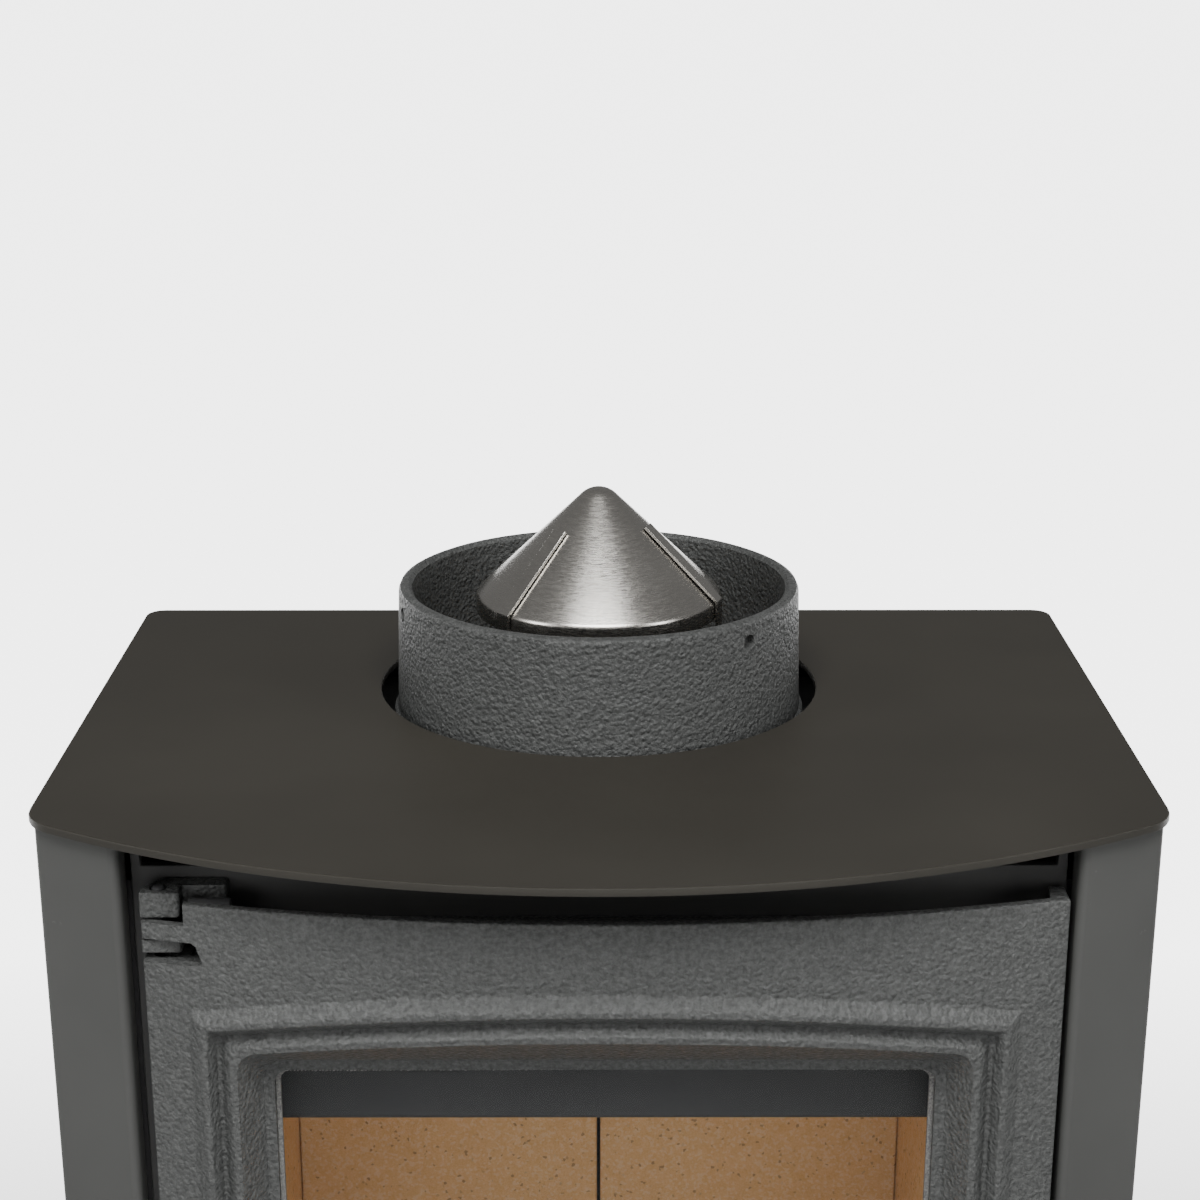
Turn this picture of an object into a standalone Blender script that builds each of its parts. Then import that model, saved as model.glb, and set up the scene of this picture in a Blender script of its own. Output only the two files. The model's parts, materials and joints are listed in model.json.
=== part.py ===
"""Compact bow-fronted wood burning stove, built up from its separate pieces.

Metres, +Z up, the door facing -Y. The origin is on the floor, in the middle of the top plate's outline.
"""

import math

import bmesh
import bpy
from mathutils import Matrix, Vector

for old_object in list(bpy.data.objects):
    bpy.data.objects.remove(old_object, do_unlink=True)

# ---- Driving sizes ----------------------------------------------------------------------------
TOUCH = 0.0003  # gap left between pieces that rest on each other
SHEET = 0.0015  # folded sheet of the casing

PLATE_WIDTH = 0.3766
PLATE_DEPTH = 0.2904  # rear edge to the middle of the bowed front
PLATE_BOW = 0.0564  # how far the middle of the front stands ahead of its corners
PLATE_THICKNESS = 0.003
PLATE_HEIGHT = 0.850  # top face above the floor
FRONT_CORNER = 0.018
REAR_CORNER = 0.007
PLATE_OVERHANG = 0.003  # plate past the side panels

COLLAR_RADIUS = 0.075
COLLAR_DRAFT = 0.0012  # the casting is this much wider at the plate
COLLAR_WALL = 0.005
COLLAR_RISE = 0.0411  # rim above the plate
COLLAR_FOOT = 0.0013  # the foot ring stands out this much
COLLAR_TO_REAR = 0.0963  # axis to the plate's rear edge
PLATE_HOLE_RADIUS = 0.0827
PLATE_HOLE_BACK = 0.0034  # the hole sits behind the collar's axis
FLUE_LEDGE = 0.006  # roof left standing inside the collar
PIPE_SCREW_RADIUS = 0.00275
PIPE_SCREW_DROP = 0.0077  # below the rim
PIPE_SCREW_TURN = 45.5  # degrees from the front, then every third of a turn

CONE_RADIUS = 0.046
CONE_BELOW_RIM = 0.0046
CONE_APEX = 0.0442  # sharp apex above the cone's base, before the tip is rounded
CONE_TIP_RADIUS = 0.0095
CONE_SKIRT = 0.006
CONE_SHEET = 0.001
STRAP_WIDTH = 0.0063
STRAP_THICKNESS = 0.001
STRAP_START = 0.40  # share of the cone's slope that the strap leaves bare at the top
STRAP_TURN = -48.0  # degrees from the front, then every third of a turn

FLANGE_WIDTH = 0.0303  # front flange of a side panel, measured across the stove
FLANGE_RETURN = 0.012
REAR_RETURN = 0.012
BEND_RADIUS = 0.0025
REAR_SHIELD_INSET = 0.005  # from the plate's rear edge
REAR_COVER_OVERLAP = 0.007

FRAME_THICKNESS = 0.004
FRAME_SETBACK = 0.0012  # frame face behind the plate's front corners
FRAME_TOP_GAP = 0.014  # warm air slot under the plate
FRAME_EAR = 0.0035  # how far the ears at the top corners come in
DOOR_OPENING_MARGIN = 0.027  # frame left standing beside the opening
STEEL = 0.003  # firebox plate
SHELL_TOP_DROP = 0.024  # roof below the top face of the plate
SHELL_TO_REAR = 0.0178

BOARD = 0.025  # vermiculite
BOARD_TOP = 0.755 - 0.850  # top of the side boards, from the plate
BAFFLE_THICKNESS = 0.020
BAFFLE_FRONT = 0.068  # baffle's front edge behind the frame
GRATE_SIZE = (0.150, 0.110, 0.012)
GRATE_SLOT = 0.007
GRATE_SLOTS = 7
GRATE_LEDGE = 0.010
DEFLECTOR_LIP = 0.1162  # lower edge below the plate
DEFLECTOR_SHEET = 0.002

DOOR_DROP = 0.0229  # top edge below the plate
DOOR_HEIGHT = 0.420
DOOR_LEFT_GAP = 0.0057
DOOR_RIGHT_GAP = 0.0018
DOOR_BOW = 0.0195
DOOR_EDGE = 0.0145  # frame face to the door's front face, at its upright edges
DOOR_SKIN = 0.003
SEAL_GAP = 0.003  # frame face to the back of the door
LIP_DEPTH = 0.0124  # frame face to the front of the window lip
LIP_THICKNESS = 0.0028
ARCH_RADIUS = 0.703  # of the moulding's top run

WINDOW_SIDE = 0.0407  # door edge to window
WINDOW_TOP = 0.0627  # door top to window
WINDOW_BOTTOM = 0.057
GLASS_LAP = 0.007
GLASS_THICKNESS = 0.004
GASKET_SHOW = 0.0015
ROPE_RADIUS = 0.0045
ROPE_INSET = 0.0178  # door edge to rope

HINGE_FROM_EDGE = 0.0053
HINGE_FROM_FRAME = 0.0085
PIN_RADIUS = 0.0024
PIN_GAP = 0.0003
UPPER_FINGER = 0.0088
LOWER_FINGER = 0.0047
HINGE_LUG = 0.0058
FINGER_GAP = 0.001
WING_DEPTH = 0.0066

HANDLE_HEIGHT = 0.62 - 0.850  # spindle, from the plate
HANDLE_FROM_EDGE = 0.0077
SPINDLE_RADIUS = 0.003
HANDLE_LENGTH = 0.098
HANDLE_STAND_OFF = 0.024
HANDLE_RADIUS = 0.006
LATCH_POCKET = (0.0069, 0.020)  # half width, half height
CAM_REACH = 0.0062
CAM_THICKNESS = 0.0025
CATCH_LIP = 0.0018
CATCH_ABOVE_SPINDLE = 0.0042
BOSS_RADIUS = 0.0072
BOSS_PROUD = 0.0004

GAP_BELOW_DOOR = 0.003
DRAWER_HEIGHT = 0.060
DRAWER_FRONT = 0.003
FASCIA_HEIGHT = 0.020
FASCIA_SHEET = 0.002
SHELF = 0.0025
PAN_HALF = 0.110
PAN_HEIGHT = 0.050
PAN_SHEET = 0.0015
PAN_CLEARANCE = 0.0025
CHANNEL_WIDTH = 0.008

SLIDE_STEM = 0.010
SLIDE_SHEET = 0.0015
SLIDE_TRAVEL = 0.035
SLIDE_CLEARANCE = 0.0015
SLIDE_PLATE = (0.050, 0.050)
AIR_PORT = (0.030, 0.030)
SLIDE_STARTS = {"primary": -0.080, "secondary": 0.045}
KNOB_RADIUS = 0.007
KNOB_LENGTH = 0.014

BASE_THICKNESS = 0.006
FOOT_HEIGHT = 0.012
FOOT_RADIUS = 0.015
STUD_RADIUS = 0.004
STUD_GAP = 0.0004
STUD_LENGTH = 0.012
FOOT_INSET = (0.018, 0.030)  # from the side panels, and from the rear and the front frame
LINER_SHEET = 0.0012
LINER_GAP = 0.0015  # liner inside the panels' front returns
LINER_REAR = 0.025

# ---- Places worked out from them --------------------------------------------------------------
half_width = PLATE_WIDTH / 2
rear_y = PLATE_DEPTH / 2
front_y = -PLATE_DEPTH / 2
corner_y = front_y + PLATE_BOW
plate_under = PLATE_HEIGHT - PLATE_THICKNESS
flue_y = rear_y - COLLAR_TO_REAR
flue_radius = COLLAR_RADIUS - COLLAR_WALL - FLUE_LEDGE
panel_x = half_width - PLATE_OVERHANG
flange_x = panel_x - FLANGE_WIDTH
frame_face = corner_y + FRAME_SETBACK
frame_back = frame_face + FRAME_THICKNESS
frame_half = flange_x - 0.0005
frame_top = PLATE_HEIGHT - FRAME_TOP_GAP - PLATE_THICKNESS
door_left = -flange_x + DOOR_LEFT_GAP
door_right = flange_x - DOOR_RIGHT_GAP
door_x = (door_left + door_right) / 2
door_half = (door_right - door_left) / 2
door_top = PLATE_HEIGHT - DOOR_DROP
door_low = door_top - DOOR_HEIGHT
door_back = frame_face - SEAL_GAP
door_front_y = frame_face - DOOR_EDGE - DOOR_BOW
window_half = door_half - WINDOW_SIDE
window_top = door_top - WINDOW_TOP
window_low = door_low + WINDOW_BOTTOM
hinge_x = door_left + HINGE_FROM_EDGE
hinge_y = frame_face - HINGE_FROM_FRAME
handle_x = door_right - HANDLE_FROM_EDGE
handle_z = PLATE_HEIGHT + HANDLE_HEIGHT
drawer_top = door_low - GAP_BELOW_DOOR
drawer_low = drawer_top - DRAWER_HEIGHT
fascia_top = drawer_low - GAP_BELOW_DOOR
fascia_low = fascia_top - FASCIA_HEIGHT
shelf_top = fascia_low - TOUCH
shelf_low = shelf_top - SHELF
shell_half = flange_x + 0.0025
shell_top = PLATE_HEIGHT - SHELL_TOP_DROP
shell_low = door_low + 0.0145
shell_rear = rear_y - SHELL_TO_REAR
shell_front = frame_back + TOUCH
chamber_floor = shell_low + STEEL
chamber_half = shell_half - STEEL - TOUCH - BOARD
base_low = FOOT_HEIGHT
base_top = base_low + BASE_THICKNESS
shield_y = rear_y - REAR_SHIELD_INSET
panel_rear = shield_y - SHEET - TOUCH

stove = bpy.data.collections.new("wood_burning_stove")
cutters = bpy.data.collections.new("cutters")
bpy.context.scene.collection.children.link(stove)
bpy.context.scene.collection.children.link(cutters)
cutters.hide_render = True

# colour, roughness, metallic
FINISHES = {
    "plate_steel": ((0.085, 0.079, 0.066), 0.42, 0.2),
    "panel_steel": ((0.110, 0.112, 0.108), 0.45, 0.2),
    "cast_iron": ((0.105, 0.110, 0.108), 0.70, 0.3),
    "firebox_steel": ((0.060, 0.061, 0.062), 0.60, 0.4),
    "stainless": ((0.52, 0.49, 0.44), 0.28, 1.0),
    "vermiculite": ((0.56, 0.33, 0.16), 0.95, 0.0),
    "rope": ((0.20, 0.19, 0.17), 0.95, 0.0),
    "glass": ((0.80, 0.85, 0.85), 0.05, 0.0),
}


# ---- Tools for the shapes ---------------------------------------------------------------------
def give_finish(part, finish):
    colour, roughness, metallic = FINISHES[finish]
    material = bpy.data.materials.new(part.name + "_" + finish)
    material.use_nodes = True
    shader = material.node_tree.nodes["Principled BSDF"]
    shader.inputs["Base Color"].default_value = (*colour, 1)
    shader.inputs["Roughness"].default_value = roughness
    shader.inputs["Metallic"].default_value = metallic
    part.data.materials.append(material)


def place(name, mesh, finish):
    """Links a mesh as a part, or as a cutter when it has no finish."""
    part = bpy.data.objects.new(name, mesh)
    if finish:
        stove.objects.link(part)
        give_finish(part, finish)
    else:
        cutters.objects.link(part)
        part.hide_render = True
        part.display_type = "WIRE"
    return part


def from_bmesh(name, shape, finish):
    mesh = bpy.data.meshes.new(name)
    shape.to_mesh(mesh)
    shape.free()
    return place(name, mesh, finish)


def box(name, low, high, finish=None):
    low, high = Vector(low), Vector(high)
    size = high - low
    shape = bmesh.new()
    bmesh.ops.create_cube(shape, size=1.0)
    bmesh.ops.scale(shape, vec=size, verts=shape.verts)
    bmesh.ops.translate(shape, vec=(low + high) / 2, verts=shape.verts)
    return from_bmesh(name, shape, finish)


def rod(name, start, end, radius, finish=None, segments=24, end_radius=None):
    """A round bar from start to end."""
    start, end = Vector(start), Vector(end)
    length = (end - start).length
    turn = Vector((0, 0, 1)).rotation_difference(end - start).to_matrix().to_4x4()
    shape = bmesh.new()
    bmesh.ops.create_cone(
        shape,
        cap_ends=True,
        segments=segments,
        radius1=radius,
        radius2=radius if end_radius is None else end_radius,
        depth=length,
        matrix=Matrix.Translation((start + end) / 2) @ turn,
    )
    return from_bmesh(name, shape, finish)


def slab(name, loops, low, high, finish=None, facing="up", turn=0.0, centre=(0, 0)):
    """A flat outline with its holes, given thickness. It lies flat, or stands facing the front."""
    curve = bpy.data.curves.new(name + "_outline", "CURVE")
    curve.dimensions = "2D"
    curve.fill_mode = "BOTH"
    curve.extrude = (high - low) / 2
    for loop in loops:
        spline = curve.splines.new("POLY")
        spline.points.add(len(loop) - 1)
        for point, (u, v) in zip(spline.points, loop):
            point.co = (u, v, 0, 1)
        spline.use_cyclic_u = True
    guide = bpy.data.objects.new(name + "_guide", curve)
    cutters.objects.link(guide)
    middle = (low + high) / 2
    if facing == "up":
        guide.location = (centre[0], centre[1], middle)
    elif facing == "side":
        guide.rotation_euler = (math.pi / 2, 0, math.pi / 2)
        guide.location = (middle, 0, 0)
    else:
        guide.rotation_euler = (math.pi / 2, 0, turn)
        guide.location = (centre[0], centre[1] + (middle if turn == 0 else 0), 0)
    bpy.context.view_layer.update()
    graph = bpy.context.evaluated_depsgraph_get()
    mesh = bpy.data.meshes.new_from_object(guide.evaluated_get(graph))
    matrix = guide.matrix_world.copy()
    bpy.data.objects.remove(guide, do_unlink=True)
    shape = bmesh.new()
    shape.from_mesh(mesh)
    bmesh.ops.remove_doubles(shape, verts=shape.verts, dist=1e-6)
    bmesh.ops.recalc_face_normals(shape, faces=shape.faces)
    shape.to_mesh(mesh)
    shape.free()
    mesh.materials.clear()
    part = place(name, mesh, finish)
    part.matrix_world = matrix
    return part


def turned(name, profile, centre, finish=None, steps=48, ring=False):
    """A profile of (radius, height) points, down its outer side, turned about an upright axis."""
    mesh = bpy.data.meshes.new(name)
    points = [(radius, 0, height) for radius, height in profile]
    edges = [(i, i + 1) for i in range(len(points) - 1)]
    if ring:
        edges.append((len(points) - 1, 0))
    mesh.from_pydata(points, edges, [])
    part = place(name, mesh, finish)
    part.location = centre
    screw = part.modifiers.new("turn", "SCREW")
    screw.axis = "Z"
    screw.angle = 2 * math.pi
    screw.steps = steps
    screw.render_steps = steps
    screw.use_merge_vertices = True
    screw.merge_threshold = 0.00001
    screw.use_smooth_shade = True
    return part


def cut(part, *tools, operation="DIFFERENCE"):
    for tool in tools:
        boolean = part.modifiers.new(tool.name, "BOOLEAN")
        boolean.operation = operation
        boolean.solver = "EXACT"
        boolean.object = tool


def arc(centre, radius, start, end, steps):
    """Points round a centre, from one angle in degrees to another."""
    return [
        (
            centre[0] + radius * math.cos(math.radians(start + (end - start) * i / steps)),
            centre[1] + radius * math.sin(math.radians(start + (end - start) * i / steps)),
        )
        for i in range(steps + 1)
    ]


def rectangle(x0, y0, x1, y1, radius=0.0, steps=4):
    if radius <= 0:
        return [(x0, y0), (x1, y0), (x1, y1), (x0, y1)]
    return (
        arc((x1 - radius, y0 + radius), radius, -90, 0, steps)
        + arc((x1 - radius, y1 - radius), radius, 0, 90, steps)
        + arc((x0 + radius, y1 - radius), radius, 90, 180, steps)
        + arc((x0 + radius, y0 + radius), radius, 180, 270, steps)
    )


def circle(centre, radius, steps=48):
    return arc(centre, radius, 0, 360, steps)[:-1]


def corner_arc(before, here, after, radius, steps):
    """The arc that rounds the corner at a point between its two neighbours."""
    here = Vector(here)
    back = (Vector(before) - here).normalized()
    ahead = (Vector(after) - here).normalized()
    half_angle = back.angle(ahead) / 2
    centre = here + (back + ahead).normalized() * (radius / math.sin(half_angle))
    reach = radius / math.tan(half_angle)
    first = (here + back * reach - centre).normalized()
    last = (here + ahead * reach - centre).normalized()
    return [centre + first.slerp(last, k / steps) * radius for k in range(steps + 1)]


def rounded(points, radii, steps=5):
    """The closed outline through the points, each corner rounded by its radius."""
    outline = []
    count = len(points)
    for i, radius in enumerate(radii):
        if radius <= 0:
            outline.append(tuple(points[i]))
            continue
        bend = corner_arc(points[i - 1], points[i], points[(i + 1) % count], radius, steps)
        outline += [tuple(p) for p in bend]
    return outline


def folded(path, thickness, radius=BEND_RADIUS, steps=4):
    """The closed outline of a sheet that lies to the left of the path, its bends rounded."""
    spine = []
    for i, point in enumerate(path):
        if i in (0, len(path) - 1):
            spine.append(Vector(point))
            continue
        spine += corner_arc(path[i - 1], point, path[i + 1], radius, steps)
    inner = []
    for i, point in enumerate(spine):
        before = spine[max(i - 1, 0)]
        after = spine[min(i + 1, len(spine) - 1)]
        along = (after - before).normalized()
        inner.append(point + Vector((-along.y, along.x)) * thickness)
    return [tuple(p) for p in spine] + [tuple(p) for p in reversed(inner)]


def bow(half_chord, rise, x):
    """How far a bowed edge has dropped back at x from its middle."""
    radius = (half_chord**2 + rise**2) / (2 * rise)
    return radius - math.sqrt(radius**2 - x**2)


def plate_front(x):
    return front_y + bow(half_width, PLATE_BOW, x)


def door_face(x):
    return door_front_y + bow(door_half, DOOR_BOW, x - door_x)


def bowed_strip(name, low, high, left, right, thickness, finish=None, steps=24):
    """An upright strip that follows the door's bow."""
    xs = [left + (right - left) * i / steps for i in range(steps + 1)]
    outline = [(x, door_face(x)) for x in xs]
    outline += [(x, door_face(x) + thickness) for x in reversed(xs)]
    return slab(name, [outline], low, high, finish)


def mirror_points(points):
    return [(-x, y) for x, y in reversed(points)]


# ---- Top plate, flue collar and its cone ------------------------------------------------------
def plate_outline(steps=48):
    """The bowed outline that the top plate and the base plate share."""
    radius = (half_width**2 + PLATE_BOW**2) / (2 * PLATE_BOW)
    centre_y = front_y + radius
    span = math.degrees(math.asin((half_width - FRONT_CORNER) / (radius - FRONT_CORNER)))
    fillet_y = centre_y - (radius - FRONT_CORNER) * math.cos(math.radians(span))
    front = arc((0, centre_y), radius, -90 - span, -90 + span, steps)
    side = arc((half_width - FRONT_CORNER, fillet_y), FRONT_CORNER, -90 + span, 0, 6)[1:]
    side += arc((half_width - REAR_CORNER, rear_y - REAR_CORNER), REAR_CORNER, 0, 90, 4)
    return front + side + mirror_points(side)


def make_top_plate():
    hole = circle((0, flue_y + PLATE_HOLE_BACK), PLATE_HOLE_RADIUS, 64)
    slab("top_plate", [plate_outline(), hole], plate_under, PLATE_HEIGHT, "plate_steel")


def make_collar():
    foot = shell_top + TOUCH
    rim = PLATE_HEIGHT + COLLAR_RISE
    wide = COLLAR_RADIUS + COLLAR_DRAFT
    inner = COLLAR_RADIUS - COLLAR_WALL
    ease = 0.0022
    profile = [(COLLAR_RADIUS - COLLAR_WALL + ease * 0.6, rim), (COLLAR_RADIUS - ease, rim)]
    profile += [(COLLAR_RADIUS - ease * 0.3, rim - ease * 0.3), (COLLAR_RADIUS, rim - ease)]
    profile += [(wide, plate_under - 0.003), (wide + COLLAR_FOOT, plate_under - 0.004)]
    profile += [(wide + COLLAR_FOOT, foot), (inner, foot), (inner, rim - ease * 0.6)]
    collar = turned("flue_collar", profile, (0, flue_y, 0), "cast_iron", steps=72, ring=True)
    height = rim - PIPE_SCREW_DROP
    for k in range(3):
        turn = math.radians(PIPE_SCREW_TURN + 120 * k)
        out = Vector((math.sin(turn), -math.cos(turn), 0))
        centre = Vector((0, flue_y, height))
        start = centre + out * (inner - 0.005)
        end = centre + out * (COLLAR_RADIUS + 0.005)
        cut(collar, rod(f"pipe_screw_hole_{k + 1}", start, end, PIPE_SCREW_RADIUS, segments=16))


def cone_slope():
    """The cone's slope as (radius, height) from its base edge to where the round tip begins."""
    base_z = PLATE_HEIGHT + COLLAR_RISE - CONE_BELOW_RIM
    angle = math.atan2(CONE_APEX, CONE_RADIUS)
    tip_centre = base_z + CONE_APEX - CONE_TIP_RADIUS / math.cos(angle)
    return base_z, angle, tip_centre


def make_cone():
    base_z, angle, tip_centre = cone_slope()
    slope = math.degrees(angle)
    outer = arc((0, tip_centre), CONE_TIP_RADIUS, 90, 90 - slope, 5)
    outer = [(0, tip_centre + CONE_TIP_RADIUS)] + outer[1:]
    outer += [(CONE_RADIUS - 0.0006, base_z + 0.0007), (CONE_RADIUS, base_z - 0.0006)]
    outer += [(CONE_RADIUS, base_z - CONE_SKIRT)]
    inner_radius = CONE_TIP_RADIUS - CONE_SHEET
    inner = arc((0, tip_centre), inner_radius, 90 - slope, 90, 5)
    inner = inner[:-1] + [(0, tip_centre + inner_radius)]
    inner_base = CONE_RADIUS - CONE_SHEET
    profile = outer + [(inner_base, base_z - CONE_SKIRT), (inner_base, base_z - 0.0012)] + inner
    turned("flue_cone", profile, (0, flue_y, 0), "stainless", steps=64)


def make_straps():
    base_z, angle, tip_centre = cone_slope()
    away = TOUCH + STRAP_THICKNESS
    lift = (away * math.sin(angle), away * math.cos(angle))
    along = CONE_RADIUS * STRAP_START
    top = (along + lift[0], base_z + (CONE_RADIUS - along) * math.tan(angle) + lift[1])
    knee_r = CONE_RADIUS + away
    knee = (knee_r, base_z + away * math.tan(math.radians(90 - math.degrees(angle)) / 2) + 0.0004)
    foot_z = shell_top + TOUCH
    foot_r = COLLAR_RADIUS - COLLAR_WALL - 0.0008
    path = [top, knee, (knee_r, foot_z + STRAP_THICKNESS), (foot_r, foot_z + STRAP_THICKNESS)]
    outline = folded(list(reversed(path)), STRAP_THICKNESS, 0.0012, 3)
    for k, side in enumerate(("left", "right", "rear")):
        turn = math.radians(STRAP_TURN + 120 * k - 90)
        slab(
            f"cone_strap_{side}",
            [outline],
            -STRAP_WIDTH / 2,
            STRAP_WIDTH / 2,
            "stainless",
            facing="front",
            turn=turn if turn else 1e-9,
            centre=(0, flue_y),
        )


# ---- Casing -----------------------------------------------------------------------------------
def make_side_panels():
    """Side, front flange that follows the plate's bow, and the two returns."""
    edge_angle = math.atan2(plate_front(panel_x) - plate_front(flange_x), panel_x - flange_x)
    inset = PLATE_OVERHANG / math.cos(edge_angle)
    flange_outer = (panel_x, plate_front(panel_x) + inset)
    flange_inner = (flange_x, plate_front(flange_x) + inset)
    path = [
        (panel_x - REAR_RETURN, panel_rear),
        (panel_x, panel_rear),
        flange_outer,
        flange_inner,
        (flange_x, flange_inner[1] + FLANGE_RETURN),
    ]
    outline = folded(list(reversed(path)), SHEET)
    low, high = base_top + TOUCH, plate_under - TOUCH
    slab("side_panel_right", [outline], low, high, "panel_steel")
    slab("side_panel_left", [mirror_points(outline)], low, high, "panel_steel")


def make_rear_shield():
    half = panel_x - REAR_RETURN + REAR_COVER_OVERLAP
    low, high = base_top + 0.002, plate_under - 0.006
    slots = []
    for row_z in (high - 0.055, high - 0.085, high - 0.115, low + 0.115, low + 0.085, low + 0.055):
        for x in (-0.105, -0.035, 0.035, 0.105):
            slots.append(rectangle(x - 0.026, row_z - 0.004, x + 0.026, row_z + 0.004, 0.0035, 2))
    outline = rectangle(-half, low, half, high, 0.006, 3)
    slab("rear_shield", [outline] + slots, shield_y - SHEET, shield_y, "panel_steel", facing="front")


def make_base():
    base = slab("base_plate", [plate_outline(32)], base_low, base_top, "plate_steel")
    x = panel_x - FOOT_INSET[0]
    for side, sign in (("left", -1), ("right", 1)):
        for end, y in (("front", frame_face + FOOT_INSET[1]), ("rear", shield_y - FOOT_INSET[1])):
            stud = STUD_RADIUS
            top = base_top + STUD_LENGTH
            profile = [(0, top), (stud - 0.0006, top), (stud, top - 0.0006), (stud, 0.0055)]
            profile += [(FOOT_RADIUS - 0.002, 0.0055), (FOOT_RADIUS, 0.0035), (FOOT_RADIUS, 0.0006)]
            profile += [(FOOT_RADIUS - 0.0006, 0), (0, 0)]
            turned(f"levelling_foot_{end}_{side}", profile, (sign * x, y, 0), "firebox_steel", steps=20)
            hole = rod(
                f"stud_hole_{end}_{side}",
                (sign * x, y, base_low - 0.002),
                (sign * x, y, base_top + 0.002),
                STUD_RADIUS + STUD_GAP,
                segments=20,
            )
            cut(base, hole)


def make_log_store():
    """Liner of the log store, and the shelf above it."""
    half = flange_x - LINER_GAP
    front, rear = frame_face - 0.003, shell_rear - LINER_REAR + 0.018
    path = [(half, front), (half, rear), (-half, rear), (-half, front)]
    slab("log_store_liner", [folded(path, LINER_SHEET)], base_top + TOUCH, shelf_low - TOUCH, "panel_steel")
    steps = 24
    left, right = door_left + 0.002, door_right - 0.002
    xs = [left + (right - left) * i / steps for i in range(steps + 1)]
    outline = [(x, door_face(x) + 0.0005) for x in xs] + [(right, shell_rear), (left, shell_rear)]
    slab("log_store_shelf", [outline], shelf_low, shelf_top, "panel_steel")


# ---- Firebox ----------------------------------------------------------------------------------
def make_front_frame():
    opening_half = frame_half - DOOR_OPENING_MARGIN
    low = shelf_top + TOUCH
    ear_top = plate_under - TOUCH
    ear = frame_half - FRAME_EAR
    right = [(ear, frame_top), (ear + 0.0004, frame_top + 0.005)]
    right += [(ear + 0.002, frame_top + 0.009), (ear + 0.002, ear_top)]
    outline = [(-frame_half, low), (frame_half, low), (frame_half, ear_top)]
    outline += list(reversed(right)) + [(-x, z) for x, z in right] + [(-frame_half, ear_top)]
    opening = rectangle(-opening_half, chamber_floor + 0.014, opening_half, door_top - 0.030, 0.010, 4)
    pan = PAN_HALF + PAN_CLEARANCE
    drawer = rectangle(-pan, pan_floor() - 0.0008, pan, pan_floor() + PAN_HEIGHT + 0.002, 0.001, 1)
    loops = [outline, opening, drawer]
    for start in SLIDE_STARTS.values():
        loops.append(slide_slot(start))
    slab("front_frame", loops, frame_face, frame_back, "panel_steel", facing="front")


def slide_height():
    return fascia_low + FASCIA_HEIGHT / 2


def slide_slot(start):
    reach = SLIDE_STEM / 2 + SLIDE_CLEARANCE
    z = slide_height()
    return rectangle(start - reach, z - 0.003, start + SLIDE_TRAVEL + reach, z + 0.003, 0.0025, 2)


def pan_floor():
    return drawer_low + 0.0025


def make_shell():
    low, high = (-shell_half, shell_front, shell_low), (shell_half, shell_rear, shell_top)
    shell = box("firebox_shell", low, high, "firebox_steel")
    inside = box(
        "firebox_inside",
        (-shell_half + STEEL, shell_front - 0.01, chamber_floor),
        (shell_half - STEEL, shell_rear - STEEL, shell_top - STEEL),
    )
    flue = rod(
        "flue_hole", (0, flue_y, shell_top - 0.02), (0, flue_y, shell_top + 0.02), flue_radius, segments=48
    )
    half_x, half_y = GRATE_SIZE[0] / 2 - GRATE_LEDGE, GRATE_SIZE[1] / 2 - GRATE_LEDGE
    drop = box(
        "grate_drop",
        (-half_x, grate_y() - half_y, shell_low - 0.01),
        (half_x, grate_y() + half_y, chamber_floor + 0.01),
    )
    cut(shell, inside, flue, drop)


def grate_y():
    return (shell_front + shell_rear) / 2 - 0.012


def make_lining():
    """Loose vermiculite boards, the baffle that rests on them and the grate."""
    floor = chamber_floor + TOUCH
    top = PLATE_HEIGHT + BOARD_TOP
    rear = shell_rear - STEEL - TOUCH
    inner = chamber_half
    front = shell_front + 0.0085
    outer = shell_half - STEEL - TOUCH
    box("side_board_right", (inner, front, floor), (outer, rear, top), "vermiculite")
    box("side_board_left", (-outer, front, floor), (-inner, rear, top), "vermiculite")
    side = inner - TOUCH
    seam = TOUCH + 0.0004
    box("rear_board_right", (seam, rear - BOARD, floor), (side, rear, top), "vermiculite")
    box("rear_board_left", (-side, rear - BOARD, floor), (-seam, rear, top), "vermiculite")
    half_x, half_y = GRATE_SIZE[0] / 2 + 0.001, GRATE_SIZE[1] / 2 + 0.001
    loops = [rectangle(-side, front, side, rear - BOARD - TOUCH)]
    loops.append(rectangle(-half_x, grate_y() - half_y, half_x, grate_y() + half_y, 0.004, 3))
    slab("base_board", loops, floor, floor + BOARD, "vermiculite")
    baffle_front = frame_back + BAFFLE_FRONT
    box(
        "baffle_board",
        (-outer + 0.004, baffle_front, top + TOUCH),
        (outer - 0.004, rear - 0.001, top + TOUCH + BAFFLE_THICKNESS),
        "vermiculite",
    )
    width, depth, thick = GRATE_SIZE
    loops = [rectangle(-width / 2, -depth / 2, width / 2, depth / 2, 0.003, 3)]
    pitch = (width - 0.024) / GRATE_SLOTS
    for k in range(GRATE_SLOTS):
        x = -width / 2 + 0.012 + pitch * (k + 0.5)
        half_slot, half_run = GRATE_SLOT / 2, depth / 2 - 0.013
        loops.append(rectangle(x - half_slot, -half_run, x + half_slot, half_run, 0.003, 2))
    slab("grate", loops, floor, floor + thick, "cast_iron", centre=(0, grate_y()))
    guard_y = front + 0.001
    z = floor + BOARD + TOUCH
    outline = rounded(
        [(-0.118, z), (0.118, z), (0.118, z + 0.034), (-0.118, z + 0.034)], [0, 0, 0.012, 0.012], 4
    )
    slab("log_guard", [outline], guard_y, guard_y + 0.003, "firebox_steel", facing="front")


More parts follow.
